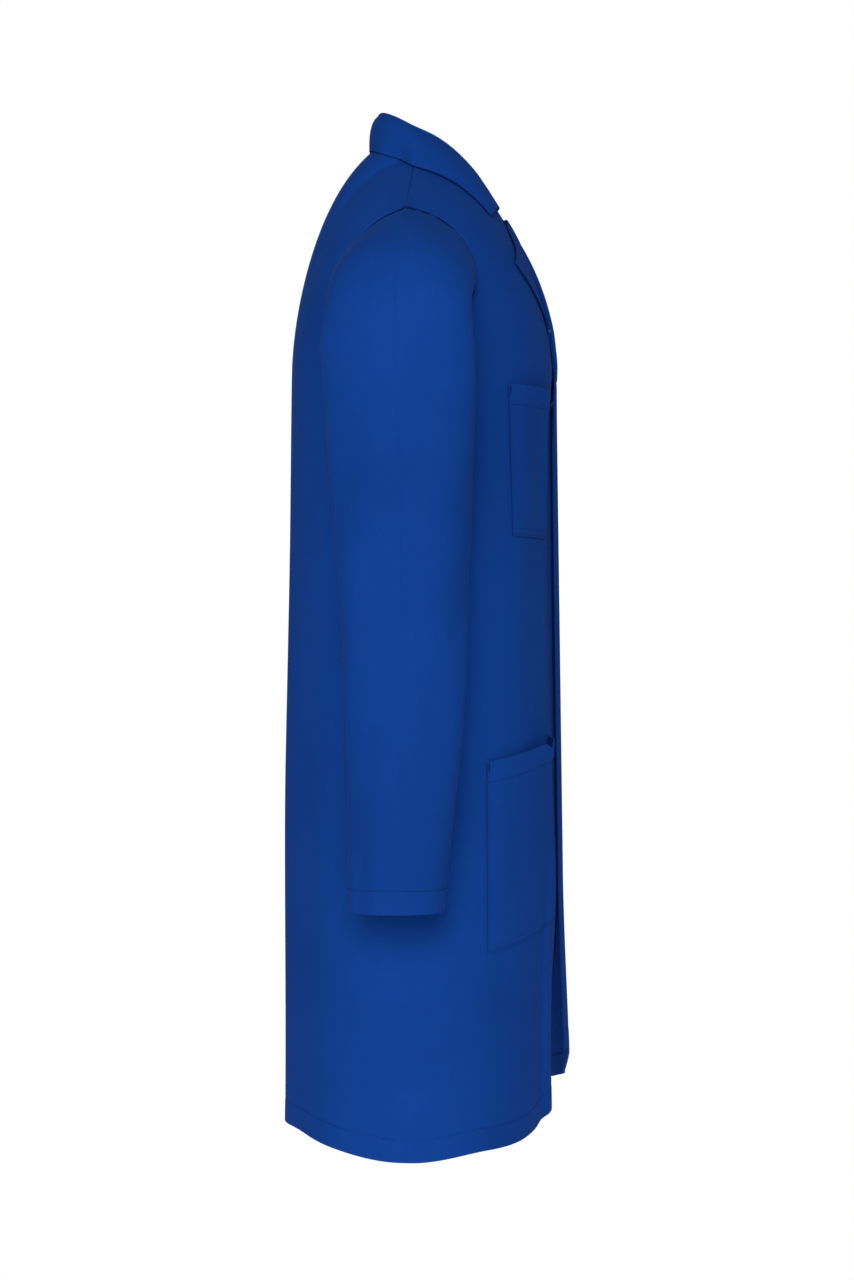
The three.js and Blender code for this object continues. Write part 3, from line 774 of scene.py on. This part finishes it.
def lapel_lift(p, q):
    """How far the facing lies off the coat: rolled at the fold, flat, then a lifted edge."""
    wide = np.clip(p * 3, 0.12, 1)
    lay = 1.3 + wide * (2.6 * bump(q, 0.05, 0.07) + 1.2 * q**2 + 0.9 * np.sin(np.pi * q) * p)
    lay = lay * smooth(q, -0.01, 0.035) + 0.2
    return lay - 0.3 * bump(q * 100 * p, 100 * p - 6, 0.9)  # groove 6 mm in from the edge


for sx in (RIGHT, LEFT):
    t, s = lapel_ts(LAPEL_ROWS, LAPEL_COLUMNS)
    P = cloth(sx, FRONT, t, s, lapel_lift(LAPEL_ROWS, LAPEL_COLUMNS))[0]
    P[..., 0] -= sx * 1.6 * bump(LAPEL_COLUMNS, 0.0, 0.03)
    P[..., 1] -= 2 * SEAM_OVERLAP
    side = NAMES[sx]
    ob = shell(f"{side}_lapel_facing", P, COAT, LAPEL_THICK)
    done(ob, "upper_coat", [f"{side}_lapel"])


# ---- collar ----
# n runs along the neck seam: -1 and 1 at the gorges, 0 at the middle of the back.
GORGE_T = 0.63
NECK_PART = 0.5  # n where the shoulder seam meets the neck
STAND_SIDE, STAND_RISE = 6.0, 31.0  # fold height at the gorge, and what the back adds to it
FALL_CROSS = 0.56  # n where the fall's edge passes over the shoulder seam
FALL_THICK = 1.4
STAND_THICK = 1.2


def mirrored(P, n):
    """P is made for the left side; the points with n < 0 go to the right side."""
    P = P.copy()
    P[..., 0] *= np.where(n < 0, -1.0, 1.0)
    return P


def toward_neck(P):
    """Level direction from each point to the middle of the neck."""
    return unit(np.stack([-P[..., 0], -P[..., 1], 0 * P[..., 0]], -1))


def neck_seam(n):
    m = np.abs(n)
    back, front = np.minimum(m, NECK_PART), np.maximum(m, NECK_PART)
    a = loft(1, BACK, np.ones_like(m), lerp(1, NECK_S, back / NECK_PART))
    t = lerp(1, GORGE_T, (front - NECK_PART) / (1 - NECK_PART))
    b = loft(1, FRONT, t, np.full_like(m, EDGE_S))
    P = np.where((m <= NECK_PART)[..., None], a, b)
    P = P + toward_neck(P) * 1.0
    P[..., 2] += 0.6
    return mirrored(P, n)


def fold_line(n):
    """Where the collar turns over, on top of the stand."""
    P = neck_seam(n)
    h = STAND_SIDE + STAND_RISE * (1 - np.abs(n) ** 2.6)
    P = P + toward_neck(P) * (0.26 * h)[..., None]
    P[..., 2] += 0.97 * h
    return P


def fall_edge(n):
    """The collar's free edge, lying on the back and then on the front."""
    m = np.abs(n)
    cross = FALL_CROSS
    kb = np.clip(m / cross, 0, 1)
    kf = np.clip((m - cross) / (1 - cross), 0, 1)
    tb = 0.985 - 0.055 * np.sin(np.pi * kb**1.6) + 0.015 * kb
    sb = lerp(1.0, 0.475, kb)
    tf, sf = lerp(1.0, 0.655, kf), lerp(0.844, 0.745, kf)
    a = loft(1, BACK, tb, sb) + body_normal(1, BACK, tb, sb) * 2.4
    b = loft(1, FRONT, tf, sf) + body_normal(1, FRONT, tf, sf) * 2.8
    return mirrored(np.where((m <= cross)[..., None], a, b), n)


def collar_profile(n, r):
    """r 0..0.3 rolls over the fold, 0.3..1 falls to the edge."""
    fold, edge = fold_line(n), fall_edge(n)
    out = unit(np.stack([fold[..., 0], fold[..., 1] + 5, 0 * fold[..., 0]], -1))
    up = np.array([0, 0, 1.0])
    radius = (0.9 + 2.1 * smooth(1 - np.abs(n), 0, 0.16))[..., None]
    a = np.clip(r / 0.3, 0, 1)[..., None] * math.pi
    roll = fold + out * radius * (1 - np.cos(a)) + up * (radius * np.sin(a) - 1.0)
    start = fold + out * (2 * radius) - up * 1.0
    k = np.clip((r - 0.3) / 0.7, 0, 1)[..., None]
    belly = lerp(start, edge, 0.42) + out * 6.5 + up * 9.0
    fall = start * (1 - k) ** 2 + belly * 2 * k * (1 - k) + edge * k**2
    return np.where((r <= 0.3)[..., None], roll, fall)


def up_and_out(P):
    return P * np.array([0.4, 0.4, 0]) + np.array([0, 0, 60.0])


n_line = np.linspace(-1, 1, 161)
r_line = np.concatenate([np.linspace(0, 0.3, 9), np.linspace(0.34, 0.9, 12), [0.94, 0.97, 0.985, 1.0]])
N, R = np.meshgrid(n_line, r_line, indexing="ij")
P = collar_profile(N, R)
for _ in range(20):
    P[1:-1] = 0.25 * P[:-2] + 0.5 * P[1:-1] + 0.25 * P[2:]
fall = shell("collar_fall_cloth", P, COAT, FALL_THICK, out=up_and_out)
done(fall, "upper_coat", ["collar_fall"])
N, R = np.meshgrid(n_line, np.linspace(0, 0.985, 12), indexing="ij")
P = lerp(neck_seam(N), fold_line(N), R[..., None])
stand = shell("collar_stand_cloth", P, COAT, STAND_THICK)
done(stand, "upper_coat", ["collar_stand"])


# ---- sleeves ----
# psi turns round the sleeve: 0 on top or outside, positive toward the back.
# w runs down it: 0 at the armhole, 1 at the end of the head, then the fan and the tube.
FAN_AT = 0.5  # share of the fan's turn where the head joins it
TUBE_AT = 1.5  # w at the top of the tube
CUFF_AT = 2.5  # w at the cuff's edge
HEAD_INSET = 4.5  # the head starts this far inside the armhole
HUB = np.array([262.0, 2.0])  # x and y of a point inside the sleeve at every height


def _arm_curve():
    """The x of the body's surface round the armhole, as rows of (psi, x)."""
    t = lerp(ARM_BOTTOM_T, 1, (1 - np.cos(np.linspace(0, np.pi, 300))) / 2)
    rows = []
    for face in (FRONT, BACK):
        P = loft(1, face, t, arm_edge(face, t))
        a = np.arctan2((P[:, 1] - ARM_YZ[0]) / ARM_HALF[0], (P[:, 2] - ARM_YZ[1]) / ARM_HALF[1])
        rows.append(np.stack([a, P[:, 0]], -1))
    rows = np.concatenate(rows)
    return rows[np.argsort(rows[:, 0])]


ARM_CURVE = _arm_curve()


def broadcast(*parts):
    return np.stack(np.broadcast_arrays(*parts), -1)


def arm_x(psi):
    a = (psi + np.pi) % (2 * np.pi) - np.pi
    return np.interp(a, ARM_CURVE[:, 0], ARM_CURVE[:, 1])


def sleeve_fan(psi, f):
    """Sections that turn about the underarm, f from 0 upright to 1 level."""
    phi = np.radians(90 * f)
    reach = lerp(ARM_HALF[1], SLEEVE_WIDTH[0] / 2, f**0.6)
    half_y = lerp(ARM_HALF[0], SLEEVE_DEPTH[0] / 2, f)
    along = reach * (1 + np.cos(psi))
    x = SLEEVE_IN + along * np.sin(phi)
    z = ARM_YZ[1] - ARM_HALF[1] - UNDERARM_DROP * f + along * np.cos(phi)
    y = lerp(ARM_YZ[0], SLEEVE_Y, f) + half_y * np.sin(psi)
    return broadcast(x, y, z)


def sleeve_tube(psi, k):
    """Level sections from the underarm to the cuff, bowed forward like a bent arm."""
    bow = k * (1 - k)
    half_x = lerp(*SLEEVE_WIDTH, k) / 2 + 8 * bow
    half_y = lerp(*SLEEVE_DEPTH, k) / 2
    z = lerp(UNDERARM_Z, CUFF_Z, k)
    x = lerp(SLEEVE_IN, half_width(CUFF_Z) + CUFF_CLEARANCE, k) + half_x
    y = SLEEVE_Y - 1.5 * k - 31 * bow
    return broadcast(x + half_x * np.cos(psi), y + half_y * np.sin(psi), z)


def sleeve_head(psi, w):
    """A Hermite surface from the armhole, where w is 0, to the fan, where w is 1."""
    y = ARM_YZ[0] + (ARM_HALF[0] - 0.3) * np.sin(psi)
    z = ARM_YZ[1] + (ARM_HALF[1] - 0.2) * np.cos(psi)
    a, b = broadcast(arm_x(psi) - HEAD_INSET, y, z), sleeve_fan(psi, FAN_AT)
    gap = np.linalg.norm(b - a, axis=-1, keepdims=True)
    leave = broadcast(1.0 + 0 * psi, 0.12 * np.sin(psi), -0.22 - 0.20 * np.cos(psi))
    arrive = sleeve_fan(psi, FAN_AT + 0.02) - sleeve_fan(psi, FAN_AT - 0.02)
    w = w[..., None]
    ends = a * (2 * w**3 - 3 * w**2 + 1) + b * (3 * w**2 - 2 * w**3)
    return ends + gap * (unit(leave) * (w**3 - 2 * w**2 + w) + unit(arrive) * (w**3 - w**2))


def sleeve_point(psi, w):
    head = sleeve_head(psi, np.clip(w, 0, 1))
    fan = sleeve_fan(psi, FAN_AT + (1 - FAN_AT) * np.clip((w - 1) / (TUBE_AT - 1), 0, 1))
    tube = sleeve_tube(psi, np.clip(w - TUBE_AT, 0, 1))
    w = w[..., None]
    return np.where(w <= 1, head, np.where(w <= TUBE_AT, fan, tube))


def wrapped(psi, at, width):
    """bump round the sleeve, with at and width in degrees."""
    d = (psi - np.radians(at) + np.pi) % (2 * np.pi) - np.pi
    return np.exp(-(np.degrees(d) / width) ** 2)


def sleeve_folds(psi, w, z, sx):
    """Gathers at the head, hollows at the underarm, waves down the tube, elbow and cuff creases."""
    k = w - TUBE_AT
    top = np.clip(w, 0, 1)
    gathers = np.cos(26 * psi + 3 * np.sin(5 * psi)) * np.exp(-top * 5) * (top > 0)
    out = 0.9 * gathers * wrapped(psi, -18, 45)
    out += 1.0 * np.exp(-((top - 0.22) / 0.22) ** 2) * wrapped(psi, -12, 60)
    out -= 7.0 * wrapped(psi, -104, 17) * bump(z, -188, 34)
    out -= 4.0 * wrapped(psi, 106, 20) * bump(z, -200, 40)
    tube = smooth(k, -0.1, 0.25)
    sway = 0 if sx < 0 else 1.1
    out += tube * 1.7 * np.sin(3 * psi + 7.0 * k + 0.7 + sway) * (1 - 0.4 * k)
    out += tube * 1.0 * np.sin(5 * psi - 9.0 * k + 2.0 + sway)
    out -= 2.4 * wrapped(psi, -60, 26) * bump(z + 28 * np.sin(psi), ELBOW_Z + 34, 22)
    out += 1.6 * wrapped(psi, -70, 30) * bump(z + 28 * np.sin(psi), ELBOW_Z - 10, 20)
    out -= 1.6 * wrapped(psi, -80, 30) * bump(z + 30 * np.sin(psi), ELBOW_Z - 52, 22)
    out += 1.5 * wrapped(psi, 62, 9) * smooth(k, 0.80, 0.97)
    out -= 1.3 * wrapped(psi, 40, 12) * smooth(k, 0.72, 0.95)
    return out


def from_hub(P, sx=1):
    """From a point inside the sleeve at the same height, or from its top above that."""
    z = P[..., 2]
    return broadcast(P[..., 0] - sx * HUB[0], P[..., 1] - HUB[1], z - np.minimum(z, UNDERARM_Z + 10))


def sleeve_shape(sx, w_line, psi_line, off=None):
    """Points and outward normals of the draped sleeve over rows of w and columns of psi."""
    W, PSI = np.meshgrid(w_line, psi_line, indexing="ij")
    P = sleeve_point(PSI, W)
    e = 0.004
    dp = sleeve_point(PSI + e, W) - sleeve_point(PSI - e, W)
    dw = sleeve_point(PSI, np.minimum(W + e, CUFF_AT)) - sleeve_point(PSI, np.maximum(W - e, 0))
    n = unit(np.cross(dw, dp))
    n = n * np.where(np.sum(n * from_hub(P), -1) < 0, -1, 1)[..., None]
    lift = sleeve_folds(PSI, W, P[..., 2], sx)
    if off is not None:
        lift = lift + off(W, P[..., 2])
    P = P + n * lift[..., None]
    P[..., 0] *= sx
    n[..., 0] *= sx
    return P, n


def sleeve_relief(w, z):
    """The armhole seam's groove, the cuff's stitching and its second layer."""
    mm = z - CUFF_Z
    seam = seam_dip(np.maximum(w * 90 - 5, 0), 0.6) * (w < 0.5)
    return stitch_dip(mm, HEM_STITCH) + 0.25 * (1 - smooth(mm, 20, 23)) + seam


TUBE_LENGTH = UNDERARM_Z - CUFF_Z
MID_ARM_W = (UNDERARM_Z - MID_ARM_Z) / TUBE_LENGTH  # below TUBE_AT; the two sleeve cloths meet there
COLUMNS = 160
PSI_LINE = np.arange(COLUMNS) * 2 * np.pi / COLUMNS
W_UPPER = np.concatenate([
    [0, 0.02, 0.05, 0.09, 0.14],
    np.linspace(0.2, 1, 14),
    np.linspace(1.05, TUBE_AT, 10),
    TUBE_AT + np.linspace(0.012, MID_ARM_W, 14),
])
W_LOWER = TUBE_AT + steps(
    MID_ARM_W, 1, int(TUBE_LENGTH * (1 - MID_ARM_W) / 6.5), [1 - d / TUBE_LENGTH for d in HEM_DENSE]
)
ARMHOLE_STITCH_W = 0.075


def sleeve(sx):
    side = NAMES[sx]

    def outward(P):
        return from_hub(P, sx)
    P = sleeve_shape(sx, W_UPPER, PSI_LINE, sleeve_relief)[0]
    upper = shell(f"{side}_sleeve_upper_cloth", P, COAT, CLOTH, wrap=True, out=outward)
    done(upper, None, [f"{side}_sleeve_head", f"{side}_upper_sleeve"], blend=shoulder_blend(sx))
    P = sleeve_shape(sx, W_LOWER, PSI_LINE, sleeve_relief)[0]
    thick = hem_thick(P[..., 2] - CUFF_Z)
    lower = shell(f"{side}_sleeve_lower_cloth", P, COAT, thick, wrap=True, out=outward)
    done(lower, None, [f"{side}_forearm_sleeve"], blend=elbow_blend(sx))
    cuff_w = np.array([CUFF_AT - HEM_STITCH / TUBE_LENGTH])
    Q, m = sleeve_shape(sx, cuff_w, np.linspace(0, 2 * np.pi, 161))
    stitch(f"{side}_cuff", Q[0], m[0])
    Q, m = sleeve_shape(sx, np.array([ARMHOLE_STITCH_W]), np.linspace(-2.2, 2.2, 200), sleeve_relief)
    stitch(f"{side}_armhole", Q[0], m[0])


for sx in (RIGHT, LEFT):
    sleeve(sx)


# ---- pockets ----
POCKET_HEM = 20.0  # depth of the turned mouth hem
SIDE_STITCH = 1.8  # from a pocket's edge to its stitching
FOOT_STITCHES = (2.0, 7.0)  # from its bottom edge
TACK = 9.0  # length of the bar tacks at the mouth's corners
POCKET_OUT = 1.5  # edges off the front's outer face


def pocket(name, sx, s0, s1, top_z, length, slope=0.0, gape=0.0, dip_at=0.5, lean=0.0):
    """A patch pocket from s0 to s1, its rows r from 0 at the foot to 1 at the mouth.

    slope lifts the side near the coat's middle, gape opens the mouth at the share dip_at
    of its width, and lean moves the foot toward the middle.
    """
    dense = [2 / length, 6 / length, 8 / length] + [1 - d / length for d in (1, 19, 20, 21, 23)]
    rows = steps(0, 1, 44, dense)[:, None]
    edges = [0.008, 0.02, 0.035, 0.05, 0.95, 0.965, 0.98, 0.992]
    columns = steps(0, 1, 40, edges)[None, :]
    width = (s1 - s0) * QUARTER

    def place(r, c, extra=0.0):
        z = top_z - length * (1 - r) + slope * c
        s = lerp(s0, s1, c) + lean * (1 - r)
        side_mm = np.minimum(c, 1 - c) * width
        inner = smooth(side_mm, 1.5, 26) * smooth(r * length, 2, 60)
        mouth = smooth(side_mm, 2, 16) * bump(c, dip_at, 0.17) * smooth(r, 0.80, 1.0)
        puff = 1.5 * inner + gape * mouth + 1.4 * inner * smooth(r, 0.3, 1.0)
        down = (1 - r) * length
        puff = puff + 0.5 * (1 - smooth(down, POCKET_HEM - 1, POCKET_HEM + 1))
        puff = puff - 0.3 * bump(down, POCKET_HEM, 0.9)
        puff = puff - 0.3 * bump(side_mm, SIDE_STITCH, 0.8) - 0.3 * bump(r * length, FOOT_STITCHES[1], 0.9)
        droop = gape * 1.5 * bump(c, dip_at, 0.055) * smooth(r, 0.86, 1.0)
        return cloth(sx, FRONT, h_of(z - droop), s, POCKET_OUT + puff + extra)
    P = place(rows, columns)[0]
    down = (1 - rows) * length + 0 * columns
    thick = CLOTH + 0.5 * (1 - smooth(down, POCKET_HEM - 1, POCKET_HEM + 1))
    ob = shell(name, P, COAT, thick)
    run = np.linspace(0.0, 1.0, 60)
    sides = (SIDE_STITCH / width, 1 - SIDE_STITCH / width)
    lines = [
        (np.full_like(run, 1 - POCKET_HEM / length), run * 0.98 + 0.01),
        (np.full_like(run, FOOT_STITCHES[0] / length), run * 0.98 + 0.01),
        (np.full_like(run, FOOT_STITCHES[1] / length), run * 0.94 + 0.03),
    ]
    lines += [(run * 0.995, np.full_like(run, at)) for at in sides]
    for r, c in lines:
        Q, m = place(r, c, 0.05)
        stitch(name, Q, m)
    tack = np.linspace(1 - TACK / length, 0.998, 12)
    for at in sides:
        for shift in (-0.5, 0.0, 0.5):
            Q, m = place(tack, np.full_like(tack, at + shift / width), 0.25)
            stitch(name, Q, m, pitch=1.1, length=1.3, width=0.5)
    return ob


CHEST_POCKET_TOP = -234.0
CHEST_POCKET_LENGTH = 147.0
LOWER_POCKET_LENGTH = 181.0
LOWER_POCKET_TOP = HEM_Z + 194.0 + LOWER_POCKET_LENGTH

ob = pocket("chest_pocket_cloth", RIGHT, 0.36, 0.735, CHEST_POCKET_TOP, CHEST_POCKET_LENGTH,
            gape=1.5, dip_at=0.7, lean=0.018)
done(ob, "upper_coat", ["chest_pocket"])
for sx, gape in ((RIGHT, 4.5), (LEFT, 1.2)):
    side = NAMES[sx]
    ob = pocket(f"{side}_lower_pocket_cloth", sx, 0.26, 0.70, LOWER_POCKET_TOP, LOWER_POCKET_LENGTH,
                slope=22.0, gape=gape, dip_at=0.76)
    done(ob, None, [f"{side}_lower_pocket"], blend=front_blend(sx))

# ---- fly strip and press studs behind the left front ----
FLY_WIDTH = 48.0
FLY_THICK = 0.7
FLY_IN = 1.9  # outer face of the strip behind the coat's outer face
FLY_S1 = EDGE_S - 0.012
FLY_S0 = FLY_S1 - FLY_WIDTH / QUARTER
FLY_TOP, FLY_END = cad("left_fly")[1][2], cad("left_fly_skirt")[0][2]
fly_h = steps(h_of(FLY_END), h_of(FLY_TOP), 110)[:, None]
P = cloth(LEFT, FRONT, fly_h, steps(FLY_S0, FLY_S1, 10)[None, :], -FLY_IN)[0]
fly = shell("left_fly_strip", P, LINER, FLY_THICK)
done(fly, None, ["left_fly", "left_fly_skirt"], blend=front_blend(LEFT))


def lathe(rings, segments=28):
    """rings are (radius, depth toward the back); made about the stud's own axis."""
    verts, faces = [], []
    for r, d in rings:
        for k in range(segments):
            a = 2 * math.pi * k / segments
            verts.append((r * math.cos(a), d, r * math.sin(a)))
    last = (len(rings) - 1) * segments
    for first in range(0, last, segments):
        for k in range(segments):
            a, b = first + k, first + (k + 1) % segments
            faces.append((a, b, b + segments, a + segments))
    faces.append(tuple(range(segments))[::-1])
    faces.append(tuple(last + k for k in range(segments)))
    return np.array(verts), faces


STUD_COUNT = 5
SOCKET_BASE = -2.65  # off the left front's outer face, on the back of the fly strip
POST_BASE = 0.15  # off the right front's outer face
SOCKET = [
    (3.7, 1.3), (3.7, 0.1), (4.3, -0.1), (5.0, -0.1), (5.7, 0.05),
    (6.0, 0.5), (6.0, 1.2), (5.6, 1.45), (4.6, 1.45), (4.1, 1.3),
]
POST = [
    (0.9, -1.75), (1.7, -1.6), (2.0, -1.2), (1.75, -0.75), (2.4, -0.55),
    (4.6, -0.45), (5.4, -0.2), (5.5, 0.05), (5.1, 0.2), (0.8, 0.2),
]
for number in range(1, STUD_COUNT + 1):
    lo, hi = cad(f"stud_socket_{number}")
    z = (lo[2] + hi[2]) / 2
    for kind, rings, sx, base in (("socket", SOCKET, LEFT, SOCKET_BASE), ("post", POST, RIGHT, POST_BASE)):
        face_y = cloth(sx, FRONT, h_of(z), 1.0, base)[0][1]
        verts, faces = lathe(rings)
        ob = add_mesh(f"press_stud_{kind}_{number}", verts + [0.0, face_y, z], faces, None, STEEL)
        done(ob, None, [f"stud_{kind}_{number}"], blend=front_blend(sx))

# ---- hanging loop ----
LOOP_HALF_SPAN = 30.0
LOOP_SAG = 12.0
LOOP_TOP = 18.0  # its ends, above the neck seam
LOOP_IN = 9.0  # its ends, forward of the neck seam
a = np.linspace(0, np.pi, 40)[:, None]
w = np.linspace(-2.5, 2.5, 5)[None, :]
seam = neck_seam(np.array(0.0))
X = LOOP_HALF_SPAN * np.cos(a) + 0 * w
Y = seam[1] - LOOP_IN - 2.2 * np.sin(a) + 0 * w - 0.25 * np.cos(w * 1.1)
Z = seam[2] + LOOP_TOP - LOOP_SAG * np.sin(a) + w
loop = shell("hanging_loop", np.stack([X, Y, Z], -1), COAT, 0.9)
done(loop, "upper_coat", ["hang_loop"])

# ---- thread ----
for group, (verts, faces) in THREADS.items():
    ob = add_mesh(f"{group}_stitching", verts, faces, None, THREAD_WITH_PAINTED_SHADE)
    sx = LEFT if group.startswith("left") else RIGHT
    if group.endswith("armhole"):
        done(ob, None, blend=shoulder_blend(sx))
    elif group.endswith("cuff"):
        done(ob, None, blend=elbow_blend(sx))
    elif "back" in group or "chest" in group:
        done(ob, "upper_coat")
    else:
        done(ob, None, blend=front_blend(sx))

# ---- stage, light and camera ----
EYE_ABOVE_HEM = 491.0
FLOOR_BELOW_HEM = 650.0
EYE_Z = (HEM_Z + EYE_ABOVE_HEM) * 0.001
FLOOR_Z = (HEM_Z - FLOOR_BELOW_HEM) * 0.001
FLOOR_DEPTH = 0.02
pale = bpy.data.materials.new("pale_floor")
pale.use_nodes = True
shader = pale.node_tree.nodes["Principled BSDF"]
shader.inputs["Base Color"].default_value = (0.93, 0.93, 0.93, 1)
shader.inputs["Roughness"].default_value = 0.9
shader.inputs["Emission Color"].default_value = (1, 1, 1, 1)
shader.inputs["Emission Strength"].default_value = 0.4
bpy.ops.mesh.primitive_cylinder_add(
    vertices=96, radius=1.55, depth=FLOOR_DEPTH, location=(0, 0, FLOOR_Z - FLOOR_DEPTH / 2)
)
floor = bpy.context.object
floor.name = "floor"
floor.data.materials.append(pale)

# The camera sees a white backdrop, while only a dim, even light from it falls on the coat.
world = bpy.data.worlds.new("studio")
bpy.context.scene.world = world
world.use_nodes = True
tree = world.node_tree
dim = tree.nodes["Background"]
dim.inputs["Color"].default_value = (0.96, 0.98, 1, 1)
dim.inputs["Strength"].default_value = 0.25
seen = tree.nodes.new("ShaderNodeBackground")
seen.inputs["Color"].default_value = (1, 1, 1, 1)
seen.inputs["Strength"].default_value = 1.0
rays = tree.nodes.new("ShaderNodeLightPath")
both = tree.nodes.new("ShaderNodeMixShader")
tree.links.new(rays.outputs["Is Camera Ray"], both.inputs["Fac"])
tree.links.new(dim.outputs["Background"], both.inputs[1])
tree.links.new(seen.outputs["Background"], both.inputs[2])
tree.links.new(both.outputs["Shader"], tree.nodes["World Output"].inputs["Surface"])


def area_light(name, at, target, size, power):
    """A disc light at a point, turned to face target; metres and watts."""
    data = bpy.data.lights.new(name, "AREA")
    data.shape = "DISK"
    data.size = size
    data.energy = power
    ob = bpy.data.objects.new(name, data)
    bpy.context.scene.collection.objects.link(ob)
    ob.location = at
    way = np.array(target) - np.array(at)
    tilt = math.acos(-way[2] / np.linalg.norm(way))
    ob.rotation_euler = (tilt, 0, math.atan2(way[1], way[0]) - math.pi / 2)


area_light("key", (-3.3, -0.1, 0.45), (0, 0, -0.45), 1.8, 59)
area_light("side_front", (-2.6, -2.3, 0.2), (0, 0, -0.5), 1.6, 11)
area_light("side_back", (-2.6, 2.5, 0.2), (0, 0, -0.5), 1.6, 14)
area_light("far_side", (3.3, 0.6, 0.6), (0, 0, -0.45), 1.8, 12)

cam_data = bpy.data.cameras.new("camera")
cam = bpy.data.objects.new("camera", cam_data)
bpy.context.scene.collection.objects.link(cam)
AZIMUTH = math.radians(-85.0)
DISTANCE = 2.7
FOCAL_LENGTH = 73.66
cam.location = (math.sin(AZIMUTH) * DISTANCE, -math.cos(AZIMUTH) * DISTANCE, EYE_Z)
cam.rotation_euler = (math.pi / 2, 0, AZIMUTH)
cam_data.sensor_width = 36.0
cam_data.lens = FOCAL_LENGTH
cam_data.clip_end = 100
bpy.context.scene.camera = cam
bpy.context.scene.view_settings.view_transform = "Standard"
